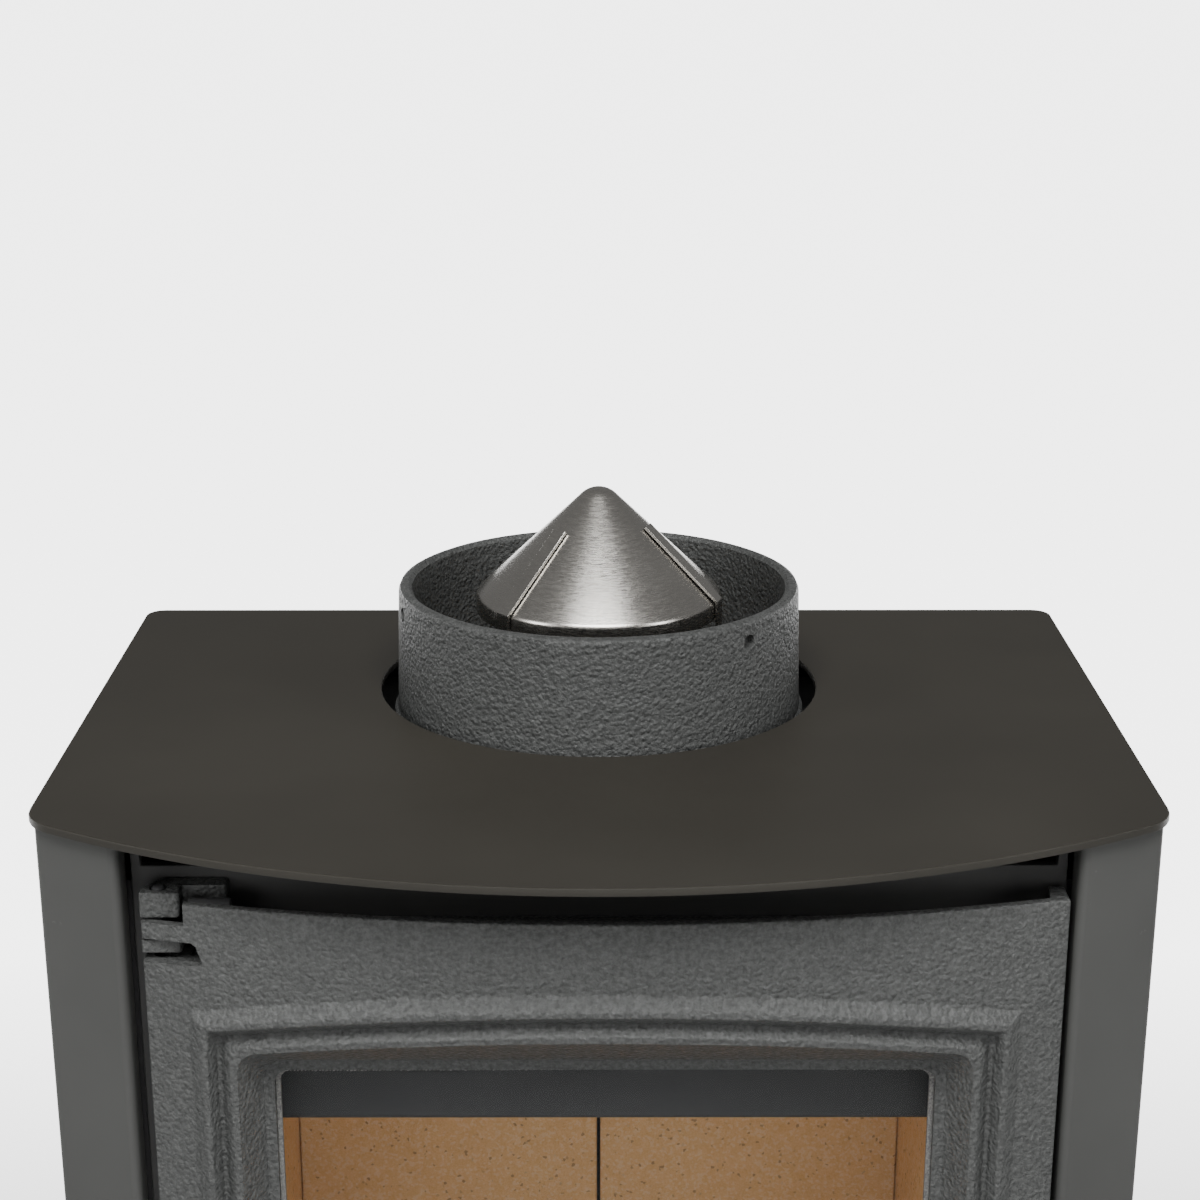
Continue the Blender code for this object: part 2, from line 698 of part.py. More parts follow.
def make_deflector():
    """Steel plate hung behind the top of the glass, its lower edge turned back."""
    front = frame_back + 0.0045
    low = PLATE_HEIGHT - DEFLECTOR_LIP
    top = shell_top - STEEL - TOUCH
    path = [(front, top), (front, low), (front + 0.010, low)]
    half = frame_half - DOOR_OPENING_MARGIN - 0.005
    outline = folded(path, DEFLECTOR_SHEET, 0.0025, 3)
    slab("air_deflector", [outline], -half, half, "firebox_steel", facing="side")


# ---- Ash drawer and air controls --------------------------------------------------------------
def make_air_box():
    """Upturned tray on the shelf: its two ports feed the firebox, and the slides run in it."""
    low, high = shelf_top + TOUCH, pan_floor() - 0.0008
    half = frame_half - 0.012
    rear = shell_rear - 0.02
    tray = box("air_box", (-half, shell_front, low), (half, rear, high), "firebox_steel")
    inside = box(
        "air_box_inside",
        (-half + SHEET, shell_front - 0.01, low - 0.01),
        (half - SHEET, rear - SHEET, high - SHEET),
    )
    cut(tray, inside)
    for name, start in SLIDE_STARTS.items():
        x, y = start + SLIDE_TRAVEL, shell_front + 0.014 + SLIDE_PLATE[1] / 2
        port = box(
            f"{name}_air_port",
            (x - AIR_PORT[0] / 2, y - AIR_PORT[1] / 2, low),
            (x + AIR_PORT[0] / 2, y + AIR_PORT[1] / 2, high + 0.01),
        )
        cut(tray, port)


def make_air_slides():
    z = slide_height()
    plate_front_y = shell_front + 0.014
    for name, start in SLIDE_STARTS.items():
        stem_end = door_face(start + SLIDE_TRAVEL / 2) - 0.006
        half_plate, half_stem = SLIDE_PLATE[0] / 2, SLIDE_STEM / 2
        outline = [
            (start - half_stem, stem_end),
            (start + half_stem, stem_end),
            (start + half_stem, plate_front_y),
            (start + half_plate, plate_front_y),
            (start + half_plate, plate_front_y + SLIDE_PLATE[1]),
            (start - half_plate, plate_front_y + SLIDE_PLATE[1]),
            (start - half_plate, plate_front_y),
            (start - half_stem, plate_front_y),
        ]
        slab(f"{name}_air_slide", [outline], z - SLIDE_SHEET / 2, z + SLIDE_SHEET / 2, "firebox_steel")
        knob(f"{name}_air_knob", (start, stem_end - TOUCH, z), KNOB_RADIUS, KNOB_LENGTH)


def knob(name, back, radius, length):
    """A turned knob pointing forwards, its back face at the given point."""
    profile = [(0, length), (radius * 0.72, length), (radius * 0.94, length * 0.9), (radius, length * 0.7)]
    profile += [(radius * 0.82, length * 0.34), (radius * 0.55, length * 0.16), (radius * 0.55, 0), (0, 0)]
    part = turned(name, profile, back, "stainless", steps=24)
    part.rotation_euler = (math.pi / 2, 0, 0)


def make_fascia():
    left, right = door_left + 0.002, door_right - 0.002
    fascia = bowed_strip("control_fascia", fascia_low, fascia_top, left, right, FASCIA_SHEET, "panel_steel")
    for name, start in SLIDE_STARTS.items():
        slot = slab(
            f"{name}_fascia_slot",
            [slide_slot(start)],
            door_front_y - 0.01,
            door_back,
            facing="front",
        )
        cut(fascia, slot)


def make_drawer():
    bowed_strip("ash_drawer_front", drawer_low, drawer_top, door_left, door_right, DRAWER_FRONT, "cast_iron")
    floor = pan_floor()
    front = door_face(PAN_HALF + door_x) + DRAWER_FRONT + 0.0006
    rear = shell_rear - 0.035
    pan = box("ash_pan", (-PAN_HALF, front, floor), (PAN_HALF, rear, floor + PAN_HEIGHT), "firebox_steel")
    inside = box(
        "ash_pan_inside",
        (-PAN_HALF + PAN_SHEET, front + PAN_SHEET, floor + PAN_SHEET),
        (PAN_HALF - PAN_SHEET, rear - PAN_SHEET, floor + PAN_HEIGHT + 0.01),
    )
    cut(pan, inside)
    z = (drawer_low + drawer_top) / 2
    knob("ash_drawer_knob", (door_x, door_face(door_x) - TOUCH, z), 0.008, 0.018)


def make_channels():
    """The two channels that carry the firebox and guide the drawer."""
    low, high = shelf_top + TOUCH, shell_low - TOUCH
    outer = frame_half - 0.001
    path = [
        (outer - CHANNEL_WIDTH, low),
        (outer, low),
        (outer, high),
        (outer - CHANNEL_WIDTH, high),
    ]
    outline = folded(path, STEEL * 0.7)
    rear = shell_rear - 0.004
    slab("support_channel_right", [outline], shell_front, rear, "firebox_steel", facing="front")
    slab("support_channel_left", [mirror_points(outline)], shell_front, rear, "firebox_steel", facing="front")


# ---- Door -------------------------------------------------------------------------------------
def door_loop(half, low, high, rise, corner_low, corner_high, ends=20, sides=4, corner=4):
    """A closed run of (x, z) points, counter-clockwise from the front, its top an arch."""
    half_top = half - corner_high

    def arch(x):
        return high - (rise * (x / half) ** 2)

    run = [(-half + corner_low + 2 * (half - corner_low) * i / ends, low) for i in range(ends)]
    run += arc((half - corner_low, low + corner_low), corner_low, -90, 0, corner)
    side_top = arch(half_top) - corner_high
    side_low = low + corner_low
    run += [(half, side_low + (side_top - side_low) * i / sides) for i in range(1, sides)]
    run += arc((half_top, side_top), corner_high, 0, 90, corner)
    xs = [half_top - 2 * half_top * i / ends for i in range(1, ends)]
    run += [(x, arch(x)) for x in xs]
    run += arc((-half_top, side_top), corner_high, 90, 180, corner)
    run += [(-half, side_top + (side_low - side_top) * i / sides) for i in range(1, sides)]
    run += arc((-half + corner_low, low + corner_low), corner_low, 180, 270, corner)[:-1]
    return [(x + door_x, z) for x, z in run]


def arch_rise(half):
    return ARCH_RADIUS - math.sqrt(ARCH_RADIUS**2 - half**2)


def door_loft():
    """The casting, as closed loops from its front edge, in to the window, and out over its back."""
    frame_half_width = door_half
    loops = []

    def front(side, top, bottom, proud, corner, arched=True):
        half = frame_half_width - side
        rise = arch_rise(half) if arched else 0.0
        run = door_loop(half, door_low + bottom, door_top - top, rise, corner, corner)
        loops.append([(x, door_face(x) - proud, z) for x, z in run])

    def flat(side, top, bottom, y, corner):
        half = frame_half_width - side
        run = door_loop(half, door_low + bottom, door_top - top, 0.0, corner, corner)
        loops.append([(x, y, z) for x, z in run])

    front(0.0, 0.0, 0.0, 0.0, 0.0015, arched=False)
    front(0.0149, 0.0254, 0.026, 0.0, 0.0010)
    front(0.0203, 0.0306, 0.031, 0.0036, 0.0012)
    front(0.0228, 0.0362, 0.0355, -0.0022, 0.0030)
    front(0.0290, 0.0405, 0.0405, 0.0006, 0.0080)
    lip = frame_face - LIP_DEPTH
    flat(WINDOW_SIDE, WINDOW_TOP, WINDOW_BOTTOM, lip, 0.005)
    flat(WINDOW_SIDE, WINDOW_TOP, WINDOW_BOTTOM, lip + LIP_THICKNESS, 0.005)
    lap = GLASS_LAP + 0.0012
    flat(WINDOW_SIDE - lap, WINDOW_TOP - lap, WINDOW_BOTTOM - lap, lip + LIP_THICKNESS, 0.003)
    flat(WINDOW_SIDE - lap, WINDOW_TOP - lap, WINDOW_BOTTOM - lap, door_back, 0.003)
    groove = ROPE_RADIUS + 0.0004
    floor = frame_face - TOUCH - 2 * ROPE_RADIUS - TOUCH
    for inset, y in ((groove, door_back), (groove, floor), (-groove, floor), (-groove, door_back)):
        flat(ROPE_INSET + inset, ROPE_INSET + inset, ROPE_INSET + inset, y, 0.012 - inset)
    flat(0.0, 0.0, 0.0, door_back, 0.0015)
    return loops


def make_door():
    loops = door_loft()
    shape = bmesh.new()
    rows = [[shape.verts.new(point) for point in loop] for loop in loops]
    for here, there in zip(rows, rows[1:] + rows[:1]):
        count = len(here)
        for i in range(count):
            j = (i + 1) % count
            shape.faces.new((here[i], here[j], there[j], there[i]))
    bmesh.ops.recalc_face_normals(shape, faces=shape.faces)
    door = from_bmesh("door_frame", shape, "cast_iron")

    # a flat round seat for the handle stands on the bowed face
    seat = rod(
        "handle_seat",
        (handle_x, handle_seat(), handle_z),
        (handle_x, handle_seat() + 0.008, handle_z),
        BOSS_RADIUS,
    )
    cut(door, seat, operation="UNION")

    # the top of the casting is hollow behind its skin, up to a rib at the latch side
    hollow_low = door_top - ROPE_INSET + ROPE_RADIUS + 0.0025
    xs = [door_left - 0.002 + (2 * door_half - 0.0045) * i / 24 for i in range(25)]
    outline = [(x, door_face(x) + DOOR_SKIN) for x in xs]
    outline += [(xs[-1] + 0.002, door_back + 0.01), (xs[0], door_back + 0.01)]
    cut(door, slab("door_top_hollow", [outline], hollow_low, door_top + 0.01))

    for name, lug_top, up in hinge_places():
        for piece in hinge_cutters(name, lug_top, up):
            cut(door, piece)

    y0 = door_front_y - 0.02
    y1 = door_back + 0.01
    cut(door, rod("spindle_bore", (handle_x, y0, handle_z), (handle_x, y1, handle_z), SPINDLE_RADIUS + TOUCH))
    wide, tall = LATCH_POCKET
    pocket = box(
        "latch_pocket",
        (handle_x - wide, latch_back(), handle_z - tall),
        (handle_x + wide, door_back + 0.01, handle_z + tall),
    )
    cut(door, pocket)


def handle_seat():
    """Front of the flat seat that carries the handle."""
    return door_face(handle_x - BOSS_RADIUS) - BOSS_PROUD


def latch_back():
    """The floor of the latch pocket, in the back of the door."""
    return frame_face - 0.0102


def hinge_places():
    """Each hinge as its name, the level of the lug's outer face and the way out of the door."""
    upper = door_top - 0.0077
    lower = door_low + 0.0077
    return (("upper", upper, 1), ("lower", lower, -1))


def hinge_levels(lug_face, up):
    """Levels of the two fingers and of the slot, from the lug's outer face inwards."""
    lug_in = lug_face - up * HINGE_LUG
    outer_finger = (lug_face + up * FINGER_GAP, lug_face + up * (FINGER_GAP + UPPER_FINGER))
    inner_finger = (lug_in - up * (FINGER_GAP + LOWER_FINGER), lug_in - up * FINGER_GAP)
    slot_end = lug_in - up * (2 * FINGER_GAP + LOWER_FINGER + 0.0015)
    return outer_finger, inner_finger, (lug_in, slot_end)


def hinge_cutters(name, lug_face, up):
    slot = hinge_levels(lug_face, up)[2]
    y0, y1 = door_front_y - 0.01, door_back + 0.01
    notch_x = hinge_x + 0.0092
    low, high = sorted((lug_face, lug_face + up * 0.03))
    yield box(f"{name}_hinge_notch", (door_left - 0.01, y0, low), (notch_x, y1, high))
    near, far = slot
    ends = [(door_left - 0.01, near), (notch_x + 0.0025, near)]
    ends += [(notch_x + 0.0055, far), (door_left - 0.01, far)]
    yield slab(f"{name}_hinge_slot", [ends if up > 0 else ends[::-1]], y0, y1, facing="front")
    reach = sorted((lug_face + up * 0.01, far - up * 0.01))
    yield rod(
        f"{name}_pin_bore",
        (hinge_x, hinge_y, reach[0]),
        (hinge_x, hinge_y, reach[1]),
        PIN_RADIUS + PIN_GAP,
        segments=20,
    )


def make_hinges():
    back = frame_face - TOUCH
    front = frame_face - DOOR_EDGE + 0.0008
    left = door_left - 0.0004
    right = hinge_x + 0.0074
    winged_outline = rounded(
        [(left, front), (right, front), (right, back - WING_DEPTH), (right + 0.0145, back - WING_DEPTH),
         (right + 0.0145, back), (left + 0.006, back), (left, back - 0.008)],
        [0.0008, 0.0015, 0, 0.001, 0, 0, 0.004],
        4,
    )
    inner_outline = rounded(
        [(left, front), (right, front), (right, back), (left + 0.006, back), (left, back - 0.008)],
        [0.0008, 0.0015, 0, 0, 0.004],
        4,
    )
    for name, lug_face, up in hinge_places():
        outer_finger, inner_finger, slot = hinge_levels(lug_face, up)
        bore = rod(
            f"{name}_finger_bore",
            (hinge_x, hinge_y, min(slot) - 0.02),
            (hinge_x, hinge_y, max(slot) + 0.03),
            PIN_RADIUS + PIN_GAP,
            segments=20,
        )
        outline = winged_outline if up > 0 else inner_outline
        outer = slab(f"{name}_hinge_outer_finger", [outline], *sorted(outer_finger), "cast_iron")
        inner = slab(f"{name}_hinge_inner_finger", [inner_outline], *sorted(inner_finger), "cast_iron")
        cut(outer, bore)
        cut(inner, bore)
        ends = sorted((outer_finger[1] + up * 0.0006, inner_finger[0]))
        profile = [(0, ends[1]), (PIN_RADIUS - 0.0008, ends[1]), (PIN_RADIUS, ends[1] - 0.0008)]
        profile += [(PIN_RADIUS, ends[0] + 0.0008), (PIN_RADIUS - 0.0008, ends[0]), (0, ends[0])]
        turned(f"{name}_hinge_pin", profile, (hinge_x, hinge_y, 0), "firebox_steel", steps=20)
    z = door_top - 0.0025
    x0 = hinge_x + 0.0102
    y = door_face(x0) + DOOR_SKIN + 0.0023 + 0.0006
    rod("closing_spring_leg", (x0, y, z), (x0 + 0.014, y, z), 0.0023, "firebox_steel", segments=16)


def make_glazing():
    lip_back = frame_face - LIP_DEPTH + LIP_THICKNESS
    half, low, high = window_half + GLASS_LAP, window_low - GLASS_LAP, window_top + GLASS_LAP
    gasket_front, gasket_back = lip_back + TOUCH, lip_back + 0.0024
    loops = [rectangle(door_x - half, low, door_x + half, high, 0.003, 3)]
    inset = GLASS_LAP + GASKET_SHOW
    loops.append(
        rectangle(door_x - half + inset, low + inset, door_x + half - inset, high - inset, 0.004, 3)
    )
    slab("glass_gasket", loops, gasket_front, gasket_back, "rope", facing="front")
    glass_front = gasket_back + TOUCH
    glass = rectangle(door_x - half, low, door_x + half, high, 0.003, 3)
    slab("door_glass", [glass], glass_front, glass_front + GLASS_THICKNESS, "glass", facing="front")
    clip_y = max(door_back, glass_front + GLASS_THICKNESS) + TOUCH
    for side, sign in (("left", -1), ("right", 1)):
        for end, z in (("lower", low + 0.035), ("upper", high - 0.035)):
            x = door_x + sign * (half + 0.003)
            outline = rectangle(x - 0.009, z - 0.008, x + 0.009 - 0.002 * (sign > 0), z + 0.008, 0.002, 2)
            name = f"glass_clip_{end}_{side}"
            slab(name, [outline], clip_y, clip_y + 0.0012, "firebox_steel", facing="front")


def make_door_seal():
    """Rope in the groove round the back of the door."""
    half = door_half - ROPE_INSET
    run = door_loop(half, door_low + ROPE_INSET, door_top - ROPE_INSET, 0.0, 0.012, 0.012, 2, 2, 5)
    y = frame_face - TOUCH - ROPE_RADIUS
    curve = bpy.data.curves.new("door_rope_seal_path", "CURVE")
    curve.dimensions = "3D"
    curve.bevel_depth = ROPE_RADIUS
    curve.bevel_resolution = 1
    spline = curve.splines.new("POLY")
    spline.points.add(len(run) - 1)
    for point, (x, z) in zip(spline.points, run):
        point.co = (x, y, z, 1)
    spline.use_cyclic_u = True
    part = bpy.data.objects.new("door_rope_seal", curve)
    stove.objects.link(part)
    give_finish(part, "rope")


def make_handle():
    """Lever that hangs from the spindle, with the cam that it turns behind the door."""
    face = handle_seat()
    axis = Vector((handle_x, 0, handle_z))
    washer_front = face - 0.0029
    profile = [(0.0066, 0.0025), (BOSS_RADIUS, 0.0018), (BOSS_RADIUS, 0), (SPINDLE_RADIUS + TOUCH, 0)]
    profile += [(SPINDLE_RADIUS + TOUCH, 0.0025)]
    washer = turned("handle_washer", profile, (handle_x, face - TOUCH, handle_z), "cast_iron", 32, ring=True)
    washer.rotation_euler = (math.pi / 2, 0, 0)
    hub_front = face - HANDLE_STAND_OFF
    cam_back = frame_face - 0.0051
    cam_front = cam_back - CAM_THICKNESS
    start = axis + Vector((0, washer_front - 0.004, 0))
    rod("handle_spindle", start, axis + Vector((0, cam_front - TOUCH, 0)), SPINDLE_RADIUS, "stainless")

    def rounded_bar(length, radius):
        ease = 0.0015
        return [
            (0, length), (radius - ease, length), (radius - ease * 0.3, length - ease * 0.3),
            (radius, length - ease), (radius, ease), (radius - ease * 0.3, ease * 0.3),
            (radius - ease, 0), (0, 0),
        ]

    neck = turned(
        "door_handle",
        rounded_bar(HANDLE_LENGTH, HANDLE_RADIUS),
        (handle_x, hub_front + HANDLE_RADIUS, handle_z - HANDLE_LENGTH + 0.012),
        "stainless",
        steps=28,
    )
    arm_end = start + Vector((0, -TOUCH, 0))
    arm = rod(
        "handle_arm_shape",
        arm_end,
        (handle_x, hub_front + HANDLE_RADIUS, handle_z),
        0.0046,
        segments=28,
    )
    cut(neck, arm, operation="UNION")
    cam = rounded(
        [(-0.0036, -0.0030), (CAM_REACH, -0.0030), (CAM_REACH, 0.0030), (-0.0036, 0.0030)],
        [0.0028, 0.0015, 0.0015, 0.0028],
        3,
    )
    slab(
        "latch_cam",
        [[(handle_x + x, handle_z + z) for x, z in cam]],
        cam_front,
        cam_back,
        "firebox_steel",
        facing="front",
    )
    lip_back = cam_front - 0.0004
    lip_front = lip_back - CATCH_LIP
    low = handle_z + CATCH_ABOVE_SPINDLE
    step = low + 0.0072
    root = frame_face - TOUCH - CATCH_LIP
    outline = [(lip_front, low), (lip_back, low), (lip_back, step - CATCH_LIP)]
    outline += [(root + CATCH_LIP, step - CATCH_LIP), (root + CATCH_LIP, step + 0.006)]
    outline += [(root, step + 0.006), (root, step), (lip_front, step)]
    wide = LATCH_POCKET[0] - 0.0012
    slab("catch_plate", [outline], handle_x - wide, handle_x + wide, "firebox_steel", facing="side")


# ---- Axes that the moving pieces turn and slide on --------------------------------------------
def hang(name, point, pieces, parent=None):
    """Hangs the pieces, with the shapes that cut them, on an empty that stands on their axis."""
    axis = bpy.data.objects.new(name, None)
    axis.location = point
    axis.empty_display_size = 0.02
    stove.objects.link(axis)
    bpy.context.view_layer.update()
    hung = [bpy.data.objects[piece] for piece in pieces]
    for part in list(hung):
        hung += [tool.object for tool in part.modifiers if tool.type == "BOOLEAN"]
    for part in hung:
        part.parent = axis
        part.matrix_parent_inverse = axis.matrix_world.inverted()
    if parent:
        axis.parent = parent
        axis.matrix_parent_inverse = parent.matrix_world.inverted()
    return axis


def make_axes():
    clips = [f"glass_clip_{end}_{side}" for end in ("lower", "upper") for side in ("left", "right")]
    door_pieces = ["door_frame", "door_glass", "glass_gasket", "door_rope_seal"] + clips
    door_pieces += ["closing_spring_leg", "handle_washer"]
    door_axis = hang("door_axis", (hinge_x, hinge_y, (door_low + door_top) / 2), door_pieces)
    handle_pieces = ["door_handle", "handle_spindle", "latch_cam"]
    hang("handle_axis", (handle_x, handle_seat(), handle_z), handle_pieces, door_axis)
    drawer_pieces = ["ash_drawer_front", "ash_pan", "ash_drawer_knob"]
    hang("ash_drawer_axis", (door_x, frame_face, (drawer_low + drawer_top) / 2), drawer_pieces)
    for name, start in SLIDE_STARTS.items():
        point = (start, frame_face, slide_height())
        hang(f"{name}_air_axis", point, [f"{name}_air_slide", f"{name}_air_knob"])


make_top_plate()
make_collar()
make_cone()
make_straps()
make_side_panels()
make_rear_shield()
make_base()
make_log_store()
make_front_frame()
make_shell()
make_lining()
make_deflector()
make_air_box()
make_air_slides()
make_fascia()
make_drawer()
make_channels()
make_door()
make_hinges()
make_glazing()
make_door_seal()
make_handle()
make_axes()
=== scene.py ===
import json
import math

import bmesh
import bpy
from mathutils import Matrix, Vector


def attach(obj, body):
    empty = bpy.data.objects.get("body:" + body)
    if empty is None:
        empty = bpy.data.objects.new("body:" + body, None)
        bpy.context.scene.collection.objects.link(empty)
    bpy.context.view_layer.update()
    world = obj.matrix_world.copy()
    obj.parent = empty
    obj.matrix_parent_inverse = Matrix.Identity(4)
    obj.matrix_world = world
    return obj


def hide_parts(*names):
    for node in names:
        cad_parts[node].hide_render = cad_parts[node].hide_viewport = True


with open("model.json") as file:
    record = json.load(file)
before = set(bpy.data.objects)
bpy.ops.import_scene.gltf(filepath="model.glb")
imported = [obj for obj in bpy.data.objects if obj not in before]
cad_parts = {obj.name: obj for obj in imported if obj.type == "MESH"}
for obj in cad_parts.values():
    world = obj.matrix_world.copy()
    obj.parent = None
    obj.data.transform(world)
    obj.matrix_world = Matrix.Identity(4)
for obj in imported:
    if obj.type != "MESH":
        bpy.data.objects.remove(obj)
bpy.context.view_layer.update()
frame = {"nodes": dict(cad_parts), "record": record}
record = frame["record"]
bodyOf = {node: body for body, nodes in record["behaviour"]["bodies"].items() for node in nodes}
slotOf = {entry["node"]: entry["material_slot"] for entry in record["subparts"]}
print("frame loaded:", len(bodyOf), "nodes")


# shader maths
class Sock:
    def __init__(self, tree, out):
        self.tree, self.out = tree, out

    def node(self, kind, inputs=None, out=0, **props):
        made = self.tree.nodes.new(kind)
        for key, value in props.items():
            setattr(made, key, value)
        for key, value in (inputs or {}).items():
            plug(self.tree, value, made.inputs[key])
        return Sock(self.tree, made.outputs[out])

    def math(self, operation, *others):
        made = self.tree.nodes.new("ShaderNodeMath")
        made.operation = operation
        for i, value in enumerate(others):
            plug(self.tree, value, made.inputs[i])
        return Sock(self.tree, made.outputs[0])

    def __add__(self, other):
        return self.math("ADD", self, other)
    def __radd__(self, other):
        return self.math("ADD", other, self)
    def __sub__(self, other):
        return self.math("SUBTRACT", self, other)
    def __rsub__(self, other):
        return self.math("SUBTRACT", other, self)
    def __mul__(self, other):
        return self.math("MULTIPLY", self, other)
    def __rmul__(self, other):
        return self.math("MULTIPLY", other, self)
    def __truediv__(self, other):
        return self.math("DIVIDE", self, other)
    def __pow__(self, other):
        return self.math("POWER", self, other)

    def ramp(self, low, high, toLow=0.0, toHigh=1.0):
        made = self.tree.nodes.new("ShaderNodeMapRange")
        labels = ("Value", "From Min", "From Max", "To Min", "To Max")
        for key, value in zip(labels, (self, low, high, toLow, toHigh)):
            plug(self.tree, value, made.inputs[key])
        return Sock(self.tree, made.outputs[0])

    def mix(self, first, second):
        made = self.tree.nodes.new("ShaderNodeMix")
        made.data_type = "RGBA"
        plug(self.tree, self, made.inputs[0])
        plug(self.tree, first, made.inputs[6])
        plug(self.tree, second, made.inputs[7])
        return Sock(self.tree, made.outputs[2])


def plug(tree, value, socket):
    if isinstance(value, Sock):
        tree.links.new(value.out, socket)
    else:
        socket.default_value = value


def newMaterial(name):
    material = bpy.data.materials.new(name)
    material.use_nodes = True
    tree = material.node_tree
    shader = tree.nodes["Principled BSDF"]
    coord = tree.nodes.new("ShaderNodeTexCoord")
    here = Sock(tree, coord.outputs["Object"])

    def noise(scale, detail=3.0, rough=0.55, stretch=None):
        vector = here
        if stretch:
            vector = here.node("ShaderNodeVectorMath", {0: here, 1: stretch}, operation="MULTIPLY")
        values = {"Vector": vector, "Scale": scale, "Detail": detail, "Roughness": rough}
        return here.node("ShaderNodeTexNoise", values)

    return material, tree, shader, here, noise


def rgb(grey, tint=(1.0, 1.0, 1.0)):
    return (grey * tint[0], grey * tint[1], grey * tint[2], 1.0)


# paints and metals
paintLook = {
    "plate": {"grey": 0.024, "tint": (1.12, 1.02, 0.82), "rough": 0.5, "grain": 0.00004, "size": 900.0},
    # the panel's low share below is a painted shade: its colour is darker towards the bottom
    "panel": {"grey": 0.060, "tint": (1.02, 1.03, 0.98), "rough": 0.46, "grain": 0.00005, "size": 800.0,
              "low": 0.8},
    "frame": {"grey": 0.062, "tint": (1.0, 1.0, 0.98), "rough": 0.5, "grain": 0.00005, "size": 700.0},
    "firebox": {"grey": 0.045, "tint": (1.0, 1.0, 1.02), "rough": 0.6, "grain": 0.0001, "size": 500.0},
}


def sheetPaint(name, look):
    material, tree, shader, here, noise = newMaterial(name)
    fine = noise(look["size"], 2.0)
    broad = noise(9.0, 3.0)
    specks = noise(160.0, 4.0, 0.7).ramp(0.70, 0.74)
    dark, light = rgb(look["grey"] * 0.9, look["tint"]), rgb(look["grey"] * 1.1, look["tint"])
    colour = broad.ramp(0.35, 0.65).mix(dark, light)
    colour = (specks * 0.35).mix(colour, rgb(look["grey"] * 2.2, look["tint"]))
    # painted shade: where the look gives a low share, the colour darkens towards the bottom, from z 0.85
    # down to the full share at z 0.60
    paintedLowShade = here.node("ShaderNodeSeparateXYZ", {0: here}, out=2).ramp(0.60, 0.85, look.get("low", 1.0), 1.0)
    colour = paintedLowShade.mix(rgb(0.0), colour)
    plug(tree, colour, shader.inputs["Base Color"])
    rough = broad.ramp(0.3, 0.7, look["rough"] - 0.04, look["rough"] + 0.06) + specks * 0.1
    plug(tree, rough, shader.inputs["Roughness"])
    shader.inputs["Specular IOR Level"].default_value = 0.3
    bump = here.node("ShaderNodeBump", {"Height": fine, "Strength": 0.35, "Distance": look["grain"]})
    plug(tree, bump, shader.inputs["Normal"])
    return material


castLook = {"grey": 0.066, "tint": (1.0, 1.03, 1.0), "rough": 0.44, "cell": 620.0, "depth": 0.0014}


def castPaint(name, look=castLook):
    material, tree, shader, here, noise = newMaterial(name)
    cells = here.node("ShaderNodeTexVoronoi", {"Vector": here, "Scale": look["cell"], "Randomness": 1.0})
    pebble = noise(look["cell"] * 1.0, 3.0, 0.6)
    lumps = noise(look["cell"] * 0.35, 2.0)
    height = pebble * 0.7 + cells.ramp(0.0, 0.8, 0.35, 0.0) + lumps * 0.6
    dark, light = rgb(look["grey"] * 0.72, look["tint"]), rgb(look["grey"] * 1.25, look["tint"])
    colour = pebble.ramp(0.35, 0.68).mix(dark, light)
    if "paintedRevealShade" in look:
        # painted shade: the slope down to the glass is painted near black, standing in for the shade that
        # falls in the reveal
        x, z = (here.node("ShaderNodeSeparateXYZ", {0: here}, out=k) for k in (0, 2))
        centreX, centreZ, halfX, halfZ = look["paintedRevealShade"]
        outside = (x - centreX).math("ABSOLUTE") - halfX
        outside = outside.math("MAXIMUM", (z - centreZ).math("ABSOLUTE") - halfZ)
        colour = outside.ramp(-0.0025, 0.0).mix(rgb(0.004), colour)
    plug(tree, colour, shader.inputs["Base Color"])
    rough = pebble.ramp(0.3, 0.7, look["rough"] + 0.12, look["rough"] - 0.06)
    plug(tree, rough, shader.inputs["Roughness"])
    shader.inputs["Specular IOR Level"].default_value = 0.32
    bump = here.node("ShaderNodeBump", {"Height": height, "Strength": 0.8, "Distance": look["depth"]})
    plug(tree, bump, shader.inputs["Normal"])
    return material


steelLook = {"grey": 0.50, "tint": (1.04, 1.0, 0.93), "rough": 0.24}


def brushedSteel(name, look=steelLook, stretch=(1.0, 1.0, 18.0)):
    material, tree, shader, here, noise = newMaterial(name)
    lines = noise(260.0, 4.0, 0.6, stretch)
    stain = noise(26.0, 4.0)
    clean, dull = rgb(look["grey"], look["tint"]), rgb(look["grey"] * 0.82, look["tint"])
    plug(tree, stain.ramp(0.3, 0.75).mix(clean, dull), shader.inputs["Base Color"])
    plug(tree, lines.ramp(0.3, 0.7, look["rough"] - 0.06, look["rough"] + 0.1), shader.inputs["Roughness"])
    shader.inputs["Metallic"].default_value = 1.0
    bump = here.node("ShaderNodeBump", {"Height": lines, "Strength": 0.25, "Distance": 0.00008})
    plug(tree, bump, shader.inputs["Normal"])
    return material


boardLook = {"low": (0.80, 0.51, 0.235, 1.0), "high": (0.93, 0.66, 0.36, 1.0),
             "flake": (0.96, 0.78, 0.50, 1.0), "pit": (0.30, 0.20, 0.11, 1.0)}


